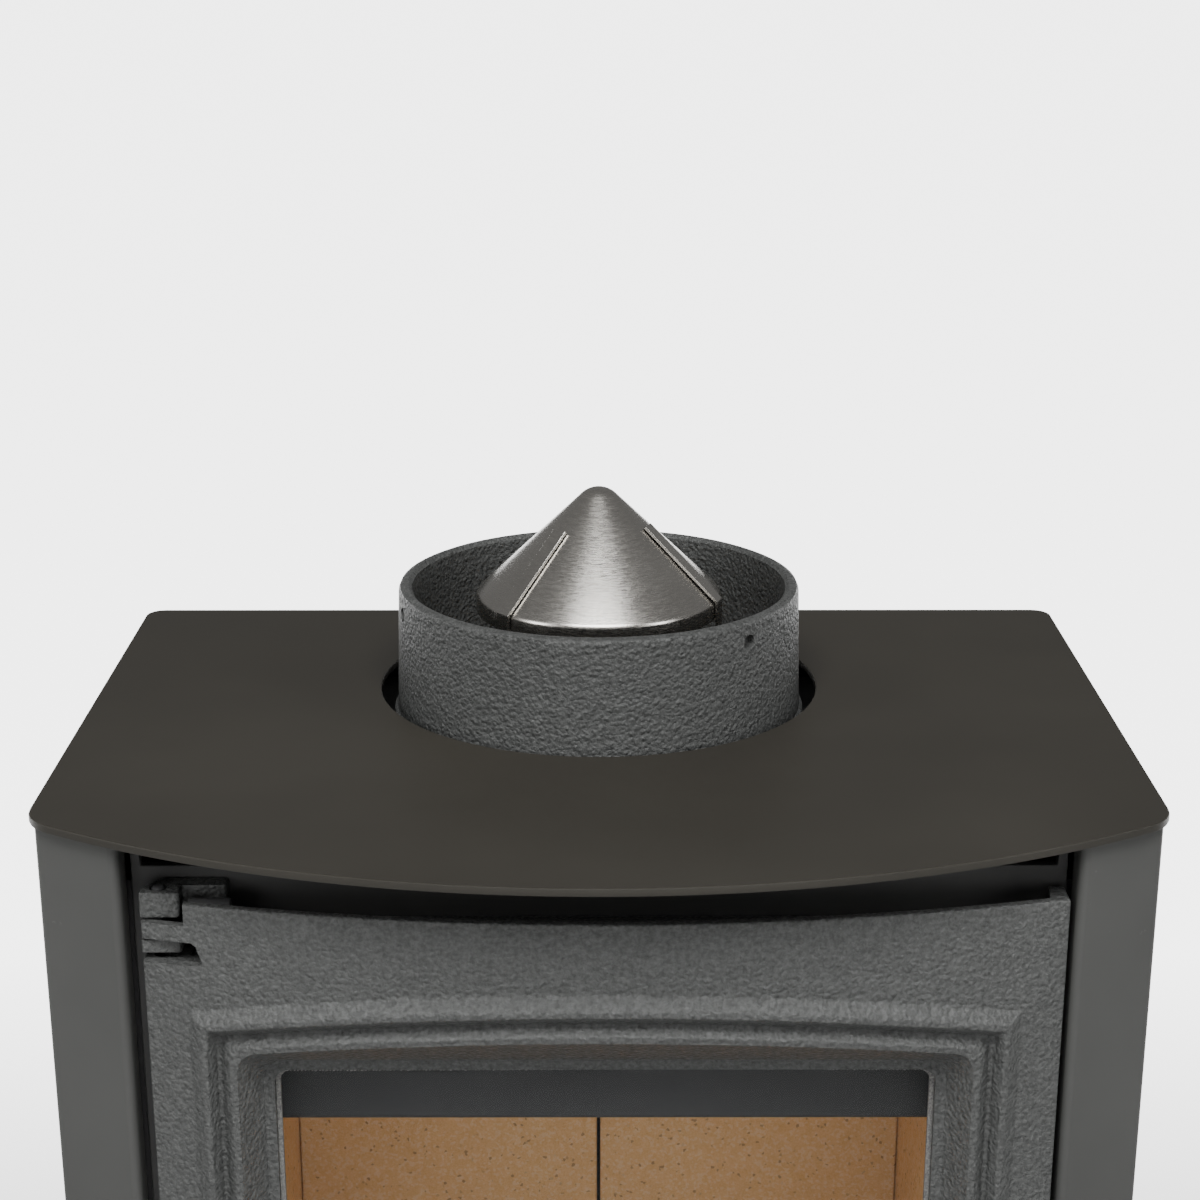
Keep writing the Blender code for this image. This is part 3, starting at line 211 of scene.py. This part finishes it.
def vermiculite(name):
    material, tree, shader, here, noise = newMaterial(name)
    grain = noise(1300.0, 4.0, 0.7)
    clump = noise(240.0, 3.0, 0.6)
    cells = here.node("ShaderNodeTexVoronoi", {"Vector": here, "Scale": 850.0}, out=1)
    patch = here.node("ShaderNodeSeparateColor", {0: cells}).ramp(0.72, 0.8)
    pit = here.node("ShaderNodeSeparateColor", {0: cells}, out=1).ramp(0.965, 0.985)
    colour = (grain * 0.7 + clump * 0.3).ramp(0.38, 0.62).mix(boardLook["low"], boardLook["high"])
    colour = (patch * 0.45).mix(colour, boardLook["flake"])
    plug(tree, (pit * 0.7).mix(colour, boardLook["pit"]), shader.inputs["Base Color"])
    plug(tree, grain.ramp(0.3, 0.7, 0.85, 0.98), shader.inputs["Roughness"])
    bump = here.node("ShaderNodeBump", {"Height": grain, "Strength": 0.7, "Distance": 0.0006})
    plug(tree, bump, shader.inputs["Normal"])
    return material


def ropeCloth(name):
    material, tree, shader, here, noise = newMaterial(name)
    weave = noise(1500.0, 3.0, 0.6)
    dark, light = rgb(0.07), rgb(0.24, (1.0, 0.98, 0.92))
    plug(tree, weave.ramp(0.35, 0.7).mix(dark, light), shader.inputs["Base Color"])
    plug(tree, weave.ramp(0.3, 0.7, 0.85, 0.97), shader.inputs["Roughness"])
    bump = here.node("ShaderNodeBump", {"Height": weave, "Strength": 0.8, "Distance": 0.0003})
    plug(tree, bump, shader.inputs["Normal"])
    return material


def clearGlass(name):
    material, tree, shader, here, noise = newMaterial(name)
    haze = noise(14.0, 4.0)
    shader.inputs["Base Color"].default_value = (0.03, 0.035, 0.035, 1.0)
    shader.inputs["Alpha"].default_value = 0.09
    plug(tree, haze.ramp(0.3, 0.8, 0.03, 0.08), shader.inputs["Roughness"])
    return material


looks = {
    "plate_steel": sheetPaint("satin plate paint", paintLook["plate"]),
    "panel_steel": sheetPaint("satin panel paint", paintLook["panel"]),
    "frame_steel": sheetPaint("frame paint", paintLook["frame"]),
    "firebox_steel": sheetPaint("dull firebox paint", paintLook["firebox"]),
    "cast_iron": castPaint("painted casting"),
    # painted shade: the box given to the door casting paints the slope round the window near black
    "door_cast": castPaint("painted door casting", {**castLook, "paintedRevealShade": (0.0019, 0.6142, 0.1208, 0.1575)}),
    "collar_cast": castPaint("painted spigot casting", {**castLook, "grey": 0.058}),
    "stainless": brushedSteel("brushed stainless"),
    "vermiculite": vermiculite("vermiculite board"),
    "rope": ropeCloth("glass fibre weave"),
    "glass": clearGlass("stove glass"),
}
print("materials made")


# helpers for pieces
def finishMesh(mesh, material, sharpAt=32.0):
    mesh.materials.clear()
    mesh.materials.append(material)
    mesh.polygons.foreach_set("use_smooth", [True] * len(mesh.polygons))
    mesh.set_sharp_from_angle(angle=math.radians(sharpAt))
    mesh.update()


def baked(obj):
    graph = bpy.context.evaluated_depsgraph_get()
    bpy.context.view_layer.update()
    mesh = bpy.data.meshes.new_from_object(obj.evaluated_get(graph))
    obj.modifiers.clear()
    obj.data = mesh
    return obj


def newPiece(name, mesh, modifiers=()):
    obj = bpy.data.objects.new(name, mesh)
    bpy.context.scene.collection.objects.link(obj)
    for kind, values in modifiers:
        modifier = obj.modifiers.new(kind.lower(), kind)
        for key, value in values.items():
            setattr(modifier, key, value)
    return baked(obj) if modifiers else obj


def standFor(obj, *nodes, body=None, slot=None):
    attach(obj, body or bodyOf[nodes[0]])
    if nodes:
        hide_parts(*nodes)
    slot or slotOf[nodes[0]]
    return obj


def mergedMesh(node):
    shape = bmesh.new()
    shape.from_mesh(frame["nodes"][node].data)
    bmesh.ops.remove_doubles(shape, verts=shape.verts, dist=2e-6)
    bmesh.ops.dissolve_limit(shape, angle_limit=math.radians(0.4), verts=shape.verts, edges=shape.edges)
    mesh = bpy.data.meshes.new(node + " fine")
    shape.to_mesh(mesh)
    shape.free()
    return mesh


def refined(node, ease, material=None, segments=2, limit=35.0):
    mesh = mergedMesh(node)
    bevel = {"width": ease, "segments": segments, "limit_method": "ANGLE",
             "angle_limit": math.radians(limit), "use_clamp_overlap": True, "harden_normals": False}
    obj = newPiece(node + "_fine", mesh, [("BEVEL", bevel)])
    finishMesh(obj.data, material or looks[slotOf[node]])
    # large flat faces keep their own normal beside the eased edges
    weighted = obj.modifiers.new("weighted", "WEIGHTED_NORMAL")
    weighted.keep_sharp = True
    weighted.weight = 100
    return standFor(baked(obj), node)


# every casing and firebox piece, edges eased
easeOf = {
    "top_plate": 0.0007, "base_plate": 0.0008, "side_panel_left": 0.0003, "side_panel_right": 0.0003,
    "rear_shield": 0.0003, "log_store_liner": 0.0003, "log_store_shelf": 0.0004, "front_frame": 0.0005,
    "control_fascia": 0.0004, "firebox_shell": 0.0006, "log_guard": 0.0005, "air_deflector": 0.0004,
    "air_box": 0.0003, "primary_air_slide": 0.0003, "secondary_air_slide": 0.0003, "ash_pan": 0.0003,
    "support_channel_left": 0.0004, "support_channel_right": 0.0004, "latch_cam": 0.0004,
    "catch_plate": 0.0003, "glass_clip_lower_left": 0.0003, "glass_clip_lower_right": 0.0003,
    "glass_clip_upper_left": 0.0003, "glass_clip_upper_right": 0.0003, "closing_spring_leg": 0.0007,
    "grate": 0.0010, "ash_drawer_front": 0.0010, "upper_hinge_outer_finger": 0.0007,
    "upper_hinge_inner_finger": 0.0007, "lower_hinge_outer_finger": 0.0007,
    "lower_hinge_inner_finger": 0.0007, "handle_washer": 0.0004, "upper_hinge_pin": 0.0004,
    "lower_hinge_pin": 0.0004, "handle_spindle": 0.0004, "door_handle": 0.0006,
    "side_board_left": 0.0012, "side_board_right": 0.0012, "rear_board_left": 0.0012,
    "rear_board_right": 0.0012, "base_board": 0.0012, "baffle_board": 0.0012,
    "levelling_foot_front_left": 0.0005, "levelling_foot_front_right": 0.0005,
    "levelling_foot_rear_left": 0.0005, "levelling_foot_rear_right": 0.0005, "primary_air_knob": 0.0004,
    "secondary_air_knob": 0.0004, "ash_drawer_knob": 0.0004, "door_glass": 0.0004,
    "flue_collar": 0.0005, "cone_strap_left": 0.00025, "cone_strap_right": 0.00025,
    "cone_strap_rear": 0.00025,
}
ownLook = {"front_frame": "frame_steel", "flue_collar": "collar_cast"}
for node, ease in easeOf.items():
    refined(node, ease, looks[ownLook[node]] if node in ownLook else None)
print("casing and firebox refined")


# cast door, whose sizes repeat those of the CAD door so that it fits the same frame
doorLook = {
    "left": -0.1493, "right": 0.1532, "low": 0.4071, "top": 0.8271, "frontY": -0.12161, "bow": 0.0195,
    "backY": -0.0906, "frameY": -0.0876, "archRadius": 0.703, "skin": 0.003,
    "windowSide": 0.0407, "windowTop": 0.0627, "windowBottom": 0.057,
    "lipDepth": 0.0124, "lipThick": 0.0028,
    "glassLap": 0.0082, "ropeInset": 0.0178, "groove": 0.0049, "grooveFloor": -0.0969,
    "hingeX": -0.144, "hingeY": -0.0961, "handleX": 0.1455, "handleZ": 0.62,
    "pocket": (0.0069, 0.02), "pocketY": -0.0978,
}
doorX = (doorLook["left"] + doorLook["right"]) / 2
doorHalf = (doorLook["right"] - doorLook["left"]) / 2
doorRadius = (doorHalf**2 + doorLook["bow"] ** 2) / (2 * doorLook["bow"])


def doorFace(x):
    return doorLook["frontY"] + doorRadius - math.sqrt(doorRadius**2 - (x - doorX) ** 2)


def archRise(half):
    return doorLook["archRadius"] - math.sqrt(doorLook["archRadius"] ** 2 - half**2)


def doorRing(side, top, bottom, corner, arched, ends=64, sides=44, cornerSteps=8):
    half, low, high = doorHalf - side, doorLook["low"] + bottom, doorLook["top"] - top
    rise = archRise(half) * arched

    def arch(x):
        return high - rise * (x / half) ** 2

    def bend(cx, cz, start):
        turns = [math.radians(start + 90 * k / cornerSteps) for k in range(cornerSteps + 1)]
        return [(cx + corner * math.cos(turn), cz + corner * math.sin(turn)) for turn in turns]

    flat = half - corner
    sideTop, sideLow = arch(flat) - corner, low + corner
    run = [(-flat + 2 * flat * i / ends, low) for i in range(ends)] + bend(flat, sideLow, -90)
    run += [(half, sideLow + (sideTop - sideLow) * i / sides) for i in range(1, sides)]
    run += bend(flat, sideTop, 0)
    run += [(flat - 2 * flat * i / ends, arch(flat - 2 * flat * i / ends)) for i in range(1, ends)]
    run += bend(-flat, sideTop, 90)
    run += [(-half, sideTop + (sideLow - sideTop) * i / sides) for i in range(1, sides)]
    run += bend(-flat, sideLow, 180)[:-1]
    return [(x + doorX, z) for x, z in run]


# side, top and bottom inset, how proud of the bow, corner radius, arch share, how far the edge is eased
mouldingKeys = [
    (0.0000, 0.0000, 0.0000, -0.0030, 0.0012, 0.0, 0.0),
    (0.0000, 0.0000, 0.0000, 0.0000, 0.0012, 0.0, 0.0009),
    (0.0143, 0.0248, 0.0254, 0.0000, 0.0008, 1.0, 0.0009),
    (0.0187, 0.0290, 0.0296, 0.0037, 0.0009, 1.0, 0.0010),
    (0.0206, 0.0312, 0.0316, 0.0037, 0.0012, 1.0, 0.0009),
    (0.0232, 0.0352, 0.0350, -0.0016, 0.0022, 1.0, 0.0009),
    (0.0246, 0.0366, 0.0364, -0.0018, 0.0040, 1.0, 0.0007),
    (0.0276, 0.0392, 0.0392, 0.0012, 0.0070, 1.0, 0.0009),
    (0.0300, 0.0416, 0.0414, 0.0008, 0.0080, 1.0, 0.0010),
]


def easedKeys(keys, steps=5):
    rows = [keys[0][:6]]
    for before, here, after in zip(keys, keys[1:], keys[2:]):
        def along(other):
            reach = math.dist(here[:1] + here[3:4] + here[1:2], other[:1] + other[3:4] + other[1:2])
            share = min(0.45, here[6] / max(reach, 1e-6))
            return [a + (b - a) * share for a, b in zip(here[:6], other[:6])]
        first, last = along(before), along(after)
        for k in range(steps + 1):
            t = k / steps
            trio = zip(first, here[:6], last)
            rows.append([a * (1 - t) ** 2 + 2 * b * t * (1 - t) + c * t * t for a, b, c in trio])
    rows.append(keys[-1][:6])
    return rows


def buildDoor(look):
    rings = []
    for side, top, bottom, proud, corner, arched in easedKeys(mouldingKeys):
        rings.append([(x, doorFace(x) - proud, z) for x, z in doorRing(side, top, bottom, corner, arched)])
    lip = look["frameY"] - look["lipDepth"]
    # the reveal: a straight slope back from the second ridge to the flat lip
    sill = 0.0035
    side, top, bottom = (look[key] - sill for key in ("windowSide", "windowTop", "windowBottom"))
    slopeEnd = doorRing(side, top, bottom, 0.0065, 0.0)
    start, end = rings[-1], [(x, lip, z) for x, z in slopeEnd]
    for k in range(1, 5):
        t = k / 4
        rings.append([tuple(a + (b - a) * t for a, b in zip(p, q)) for p, q in zip(start, end)])
    lap = look["glassLap"]
    back = lip + look["lipThick"]
    steps = ((0.0, lip, 0.005), (0.0, back, 0.005), (-lap, back, 0.003), (-lap, look["backY"], 0.003))
    for inset, y, corner in steps:
        side, top, bottom = (look[key] + inset for key in ("windowSide", "windowTop", "windowBottom"))
        ring = doorRing(side, top, bottom, corner, 0.0)
        rings.append([(x, y, z) for x, z in ring])
    g, deep = look["groove"], look["grooveFloor"]
    for shift, y in ((g, look["backY"]), (g, deep), (-g, deep), (-g, look["backY"])):
        inset = look["ropeInset"] + shift
        rings.append([(x, y, z) for x, z in doorRing(inset, inset, inset, 0.012 - shift, 0.0)])
    rings.append([(x, look["backY"], z) for x, z in doorRing(0.0008, 0.0008, 0.0008, 0.0012, 0.0)])
    rings.append([(x, look["backY"] - 0.0008, z) for x, z in doorRing(0.0, 0.0, 0.0, 0.0012, 0.0)])
    shape = bmesh.new()
    rows = [[shape.verts.new(point) for point in ring] for ring in rings]
    for here, there in zip(rows, rows[1:] + rows[:1]):
        for i in range(len(here)):
            j = (i + 1) % len(here)
            shape.faces.new((here[i], here[j], there[j], there[i]))
    bmesh.ops.recalc_face_normals(shape, faces=shape.faces)
    mesh = bpy.data.meshes.new("cast door")
    shape.to_mesh(mesh)
    shape.free()
    return mesh


def prism(name, outline, low, high, alongY=False):
    shape = bmesh.new()
    def at(u, v, w):
        return (u, w, v) if alongY else (u, v, w)
    first = [shape.verts.new(at(u, v, low)) for u, v in outline]
    last = [shape.verts.new(at(u, v, high)) for u, v in outline]
    shape.faces.new(first)
    shape.faces.new(last)
    for i in range(len(outline)):
        j = (i + 1) % len(outline)
        shape.faces.new((first[i], first[j], last[j], last[i]))
    bmesh.ops.recalc_face_normals(shape, faces=shape.faces)
    mesh = bpy.data.meshes.new(name)
    shape.to_mesh(mesh)
    shape.free()
    return bpy.data.objects.new(name, mesh)


def roundBar(name, start, end, radius, segments=32):
    start, end = Vector(start), Vector(end)
    turn = Vector((0, 0, 1)).rotation_difference(end - start).to_matrix().to_4x4()
    shape = bmesh.new()
    bmesh.ops.create_cone(shape, cap_ends=True, segments=segments, radius1=radius, radius2=radius,
                          depth=(end - start).length, matrix=Matrix.Translation((start + end) / 2) @ turn)
    mesh = bpy.data.meshes.new(name)
    shape.to_mesh(mesh)
    shape.free()
    return bpy.data.objects.new(name, mesh)


def doorCutters(look):
    y0, y1 = look["frontY"] - 0.02, look["backY"] + 0.01
    hollowLow = look["top"] - look["ropeInset"] + 0.007
    xs = [look["left"] - 0.002 + (2 * doorHalf - 0.0045) * i / 48 for i in range(49)]
    outline = [(x, doorFace(x) + look["skin"]) for x in xs]
    # the rib at the latch side narrows towards the back
    outline += [(xs[-1] + 0.0022, y1), (xs[0], y1)]
    yield prism("top hollow", outline, hollowLow, look["top"] + 0.01)
    notchX = look["hingeX"] + 0.0092
    for face, up in ((look["top"] - 0.0077, 1), (look["low"] + 0.0077, -1)):
        low, high = sorted((face, face + up * 0.03))
        edge = look["left"] - 0.01
        notch = [(edge, low), (notchX, low), (notchX, high), (edge, high)]
        yield prism("hinge notch", notch, y0, y1, True)
        near, far = face - up * 0.0058, face - up * 0.0140
        ends = [(edge, near), (notchX + 0.0022, near), (notchX + 0.0036, near - up * 0.001)]
        ends += [(notchX + 0.0056, far + up * 0.0016), (notchX + 0.0050, far + up * 0.0003)]
        ends += [(notchX + 0.0038, far), (edge, far)]
        yield prism("hinge slot", ends, y0, y1, True)
        reach = sorted((face + up * 0.01, far - up * 0.01))
        below, above = ((look["hingeX"], look["hingeY"], level) for level in reach)
        yield roundBar("pin bore", below, above, 0.0027)
    x, z = look["handleX"], look["handleZ"]
    yield roundBar("spindle bore", (x, y0, z), (x, y1, z), 0.0033)
    wide, tall = look["pocket"]
    pocket = [(x - wide, z - tall), (x + wide, z - tall), (x + wide, z + tall), (x - wide, z + tall)]
    yield prism("latch pocket", pocket, look["pocketY"], y1, True)


door = bpy.data.objects.new("cast_door_fine", buildDoor(doorLook))
bpy.context.scene.collection.objects.link(door)
seatY = doorFace(doorLook["handleX"] - 0.0072) - 0.0004
seat = roundBar("handle seat", (doorLook["handleX"], seatY, doorLook["handleZ"]),
                (doorLook["handleX"], seatY + 0.008, doorLook["handleZ"]), 0.0072, 40)
tools = [(seat, "UNION")] + [(tool, "DIFFERENCE") for tool in doorCutters(doorLook)]
for tool, operation in tools:
    bpy.context.scene.collection.objects.link(tool)
    modifier = door.modifiers.new(tool.name, "BOOLEAN")
    modifier.operation, modifier.solver, modifier.object = operation, "EXACT", tool
baked(door)
for tool, operation in tools:
    bpy.data.objects.remove(tool, do_unlink=True)
finishMesh(door.data, looks["door_cast"], 40.0)
standFor(door, "door_frame")
print("door:", len(door.data.polygons), "faces")


# cowl over the flue
coneLook = {"y": 0.0489, "baseZ": 0.8865, "radius": 0.046, "apex": 0.0442, "tip": 0.0095,
            "skirt": 0.006, "sheet": 0.001}


def spun(name, profile, centre, steps=96):
    shape = bmesh.new()
    verts = [shape.verts.new((radius, 0, z)) for radius, z in profile]
    edges = [shape.edges.new((a, b)) for a, b in zip(verts, verts[1:])]
    bmesh.ops.spin(shape, geom=verts + edges, cent=(0, 0, 0), axis=(0, 0, 1), angle=2 * math.pi,
                   steps=steps, use_merge=True, use_duplicate=False)
    bmesh.ops.remove_doubles(shape, verts=shape.verts, dist=1e-7)
    bmesh.ops.translate(shape, vec=centre, verts=shape.verts)
    bmesh.ops.recalc_face_normals(shape, faces=shape.faces)
    mesh = bpy.data.meshes.new(name)
    shape.to_mesh(mesh)
    shape.free()
    return mesh


def coneProfile(look):
    angle = math.atan2(look["apex"], look["radius"])
    tipZ = look["baseZ"] + look["apex"] - look["tip"] / math.cos(angle)

    def cap(radius, steps=10):
        turns = [angle * k / steps for k in range(steps + 1)]
        return [(radius * math.sin(turn), tipZ + radius * math.cos(turn)) for turn in turns]

    slope = cap(look["tip"])
    rim, base = look["radius"], look["baseZ"]
    foot = [(rim - 0.0009, base + 0.0010), (rim - 0.0002, base + 0.0002), (rim, base - 0.0008)]
    foot.append((rim, base - look["skirt"]))
    inner = [(rim - look["sheet"], base - look["skirt"]), (rim - look["sheet"], base - 0.0014)]
    return slope + foot + inner + cap(look["tip"] - look["sheet"])[::-1]


cowl = newPiece("cowl_fine", spun("cowl", coneProfile(coneLook), (0, coneLook["y"], 0)))
finishMesh(cowl.data, looks["stainless"], 60.0)
standFor(cowl, "flue_cone")


# geometry nodes: small pieces along a path
def scatterTree(name, makeItem):
    tree = bpy.data.node_groups.new(name, "GeometryNodeTree")
    inputs = (
        ("Path", "NodeSocketGeometry", None), ("Spacing", "NodeSocketFloat", 0.002),
        ("Size", "NodeSocketFloat", 0.001), ("Jitter", "NodeSocketFloat", 0.2),
        ("Seed", "NodeSocketInt", 3), ("Material", "NodeSocketMaterial", None),
    )
    for label, kind, default in inputs:
        socket = tree.interface.new_socket(label, in_out="INPUT", socket_type=kind)
        if default is not None:
            socket.default_value = default
    tree.interface.new_socket("Geometry", in_out="OUTPUT", socket_type="NodeSocketGeometry")
    enter, leave = tree.nodes.new("NodeGroupInput"), tree.nodes.new("NodeGroupOutput")
    def add(kind, **props):
        made = tree.nodes.new(kind)
        for key, value in props.items():
            setattr(made, key, value)
        return made
    link = tree.links.new
    curve = add("GeometryNodeMeshToCurve")
    points = add("GeometryNodeCurveToPoints", mode="LENGTH")
    place = add("GeometryNodeInstanceOnPoints")
    spread = add("FunctionNodeRandomValue", data_type="FLOAT_VECTOR")
    scaleBy = add("ShaderNodeVectorMath", operation="SCALE")
    low, high = add("ShaderNodeMath", operation="SUBTRACT"), add("ShaderNodeMath", operation="ADD")
    realize, paint = add("GeometryNodeRealizeInstances"), add("GeometryNodeSetMaterial")
    item = makeItem(add, link)
    link(enter.outputs["Path"], curve.inputs["Mesh"])
    link(curve.outputs["Curve"], points.inputs["Curve"])
    link(enter.outputs["Spacing"], points.inputs["Length"])
    link(points.outputs["Points"], place.inputs["Points"])
    link(points.outputs["Rotation"], place.inputs["Rotation"])
    link(item, place.inputs["Instance"])
    low.inputs[0].default_value = high.inputs[0].default_value = 1.0
    link(enter.outputs["Jitter"], low.inputs[1])
    link(enter.outputs["Jitter"], high.inputs[1])
    link(low.outputs[0], spread.inputs[0])
    link(high.outputs[0], spread.inputs[1])
    link(enter.outputs["Seed"], spread.inputs["Seed"])
    link(spread.outputs[0], scaleBy.inputs[0])
    link(enter.outputs["Size"], scaleBy.inputs["Scale"])
    link(scaleBy.outputs[0], place.inputs["Scale"])
    link(place.outputs["Instances"], realize.inputs["Geometry"])
    link(realize.outputs["Geometry"], paint.inputs["Geometry"])
    link(enter.outputs["Material"], paint.inputs["Material"])
    link(paint.outputs["Geometry"], leave.inputs["Geometry"])
    return tree


def stitchItem(add, link):
    ball, shapeIt = add("GeometryNodeMeshIcoSphere"), add("GeometryNodeTransform")
    ball.inputs["Radius"].default_value = 1.0
    ball.inputs["Subdivisions"].default_value = 2
    shapeIt.inputs["Rotation"].default_value = (0.0, 0.5, 0.0)
    shapeIt.inputs["Scale"].default_value = (0.8, 0.55, 1.5)
    link(ball.outputs["Mesh"], shapeIt.inputs["Geometry"])
    return shapeIt.outputs["Geometry"]


def pathMesh(name, points, closed=True):
    mesh = bpy.data.meshes.new(name)
    edges = [(i, i + 1) for i in range(len(points) - 1)] + ([(len(points) - 1, 0)] if closed else [])
    mesh.from_pydata(points, edges, [])
    return mesh


def alongPath(name, tree, points, material, closed=True, **values):
    obj = bpy.data.objects.new(name, pathMesh(name, points, closed))
    bpy.context.scene.collection.objects.link(obj)
    modifier = obj.modifiers.new("nodes", "NODES")
    modifier.node_group = tree
    sockets = {item.name: item.identifier for item in tree.interface.items_tree if item.in_out == "INPUT"}
    modifier[sockets["Material"]] = material
    for key, value in values.items():
        modifier[sockets[key]] = value
    baked(obj)
    finishMesh(obj.data, material, 60.0)
    return obj


stitchTree = scatterTree("stitches along a path", stitchItem)

# glass tape: a plain core with stitched yarns along its edge
tapeLook = {"half": 0.1103, "low": 0.4658, "high": 0.7627, "y": -0.0958, "spacing": 0.0012, "size": 0.00072}
tape = newPiece("glass_tape_core", mergedMesh("glass_gasket"))
finishMesh(tape.data, looks["rope"])
corners = [(doorX - tapeLook["half"], tapeLook["low"]), (doorX + tapeLook["half"], tapeLook["low"]),
           (doorX + tapeLook["half"], tapeLook["high"]), (doorX - tapeLook["half"], tapeLook["high"])]
tapeRun = [(x, tapeLook["y"], z) for x, z in corners]
stitches = alongPath("glass_tape_yarns", stitchTree, tapeRun, looks["rope"], Spacing=tapeLook["spacing"],
                     Size=tapeLook["size"], Jitter=0.3, Seed=5)
standFor(tape, "glass_gasket")
standFor(stitches, body="door", slot="rope")

# door rope: core and a braid of yarns round it
sealLook = {"inset": 0.0178, "y": -0.0924, "radius": 0.0045, "turn": 0.009, "yarn": 0.0011, "strands": 3}
ropeCore = newPiece("door_rope_core", mergedMesh("door_rope_seal"))
finishMesh(ropeCore.data, looks["rope"])
standFor(ropeCore, "door_rope_seal")
ropeRing = doorRing(sealLook["inset"], sealLook["inset"], sealLook["inset"], 0.012, 0.0)
ropeRun = [Vector((x, sealLook["y"], z)) for x, z in ropeRing]
for strand in range(sealLook["strands"]):
    points, gone = [], 0.0
    for i, here in enumerate(ropeRun):
        ahead = ropeRun[(i + 1) % len(ropeRun)]
        step, out = ahead - here, Vector((0, 1, 0))
        side = step.normalized().cross(out)
        for k in range(3):
            turns = (gone + step.length * k / 3) / sealLook["turn"]
            phase = 2 * math.pi * (turns + strand / sealLook["strands"])
            centre = here + step * k / 3
            aside = out * math.cos(phase) + side * math.sin(phase)
            points.append(centre + aside * (sealLook["radius"] - 0.0006))
        gone += step.length
    yarns = alongPath("door_rope_yarns_%d" % (strand + 1), stitchTree, points, looks["rope"],
                      Spacing=0.0022, Size=sealLook["yarn"] * 0.8, Jitter=0.15, Seed=strand)
    standFor(yarns, body="door", slot="rope")
print("tape and rope done")


# room
roomLook = {"floor": 0.62, "sky": 0.22, "front": 0.16, "glow": 4.2, "glowFrom": 0.5, "glowTo": 1.6}
floorShape = bmesh.new()
bmesh.ops.create_grid(floorShape, x_segments=1, y_segments=1, size=30.0)
floorMesh = bpy.data.meshes.new("floor")
floorShape.to_mesh(floorMesh)
floorShape.free()
floor = newPiece("floor", floorMesh)
floorMaterial, floorTree, floorShader, floorHere, floorNoise = newMaterial("pale floor")
floorShader.inputs["Base Color"].default_value = rgb(roomLook["floor"])
floorShader.inputs["Emission Strength"].default_value = roomLook["glow"]
behind = floorHere.node("ShaderNodeSeparateXYZ", {0: floorHere}, out=1)
away = behind.ramp(roomLook["glowFrom"], roomLook["glowTo"])
plug(floorTree, away.mix(rgb(0.0), rgb(1.0)), floorShader.inputs["Emission Color"])
floorShader.inputs["Roughness"].default_value = 0.9
floorMesh.materials.append(floorMaterial)

world = bpy.data.worlds.new("studio")
bpy.context.scene.world = world
world.use_nodes = True
sky = world.node_tree
background = sky.nodes["Background"]
direction = Sock(sky, sky.nodes.new("ShaderNodeTexCoord").outputs["Generated"])
parts = direction.node("ShaderNodeSeparateXYZ", {0: direction}, out=1)
background.inputs["Color"].default_value = (1.0, 1.0, 1.0, 1.0)
plug(sky, parts.ramp(-0.75, 0.15, roomLook["front"], roomLook["sky"]), background.inputs["Strength"])

lampLook = [
    {"name": "key box", "at": (0.0, -1.3, 2.7), "aim": (0.0, 0.0, 0.8),
     "size": (1.6, 1.0), "watts": 78.0},
    {"name": "front fill", "at": (0.0, -3.0, 1.0), "aim": (0.0, 0.0, 0.75),
     "size": (2.4, 1.0), "watts": 20.0},
    {"name": "left box", "at": (-2.3, -1.3, 1.9), "aim": (0.0, 0.0, 0.75),
     "size": (0.8, 1.3), "watts": 30.0},
    {"name": "right box", "at": (2.3, -1.3, 1.9), "aim": (0.0, 0.0, 0.75),
     "size": (0.8, 1.3), "watts": 25.0},
]
for look in lampLook:
    lamp = bpy.data.lights.new(look["name"], "AREA")
    lamp.shape = "RECTANGLE"
    lamp.size, lamp.size_y = look["size"]
    lamp.energy = look["watts"]
    holder = bpy.data.objects.new(look["name"], lamp)
    holder.location = look["at"]
    holder.rotation_euler = (Vector(look["aim"]) - Vector(look["at"])).to_track_quat("-Z", "Y").to_euler()
    bpy.context.scene.collection.objects.link(holder)

cameraLook = {"at": (-0.0012, -0.8113, 1.1427), "pitch": 71.09, "yaw": -0.08, "lens": 71.49,
              "shift": (0.0011, 0.0735)}
camera = bpy.data.objects.new("camera", bpy.data.cameras.new("camera"))
camera.data.sensor_width = 36.0
camera.data.lens = cameraLook["lens"]
camera.data.shift_x, camera.data.shift_y = cameraLook["shift"]
camera.location = cameraLook["at"]
camera.rotation_euler = (math.radians(cameraLook["pitch"]), 0.0, math.radians(cameraLook["yaw"]))
bpy.context.scene.collection.objects.link(camera)
bpy.context.scene.camera = camera
print("room set")
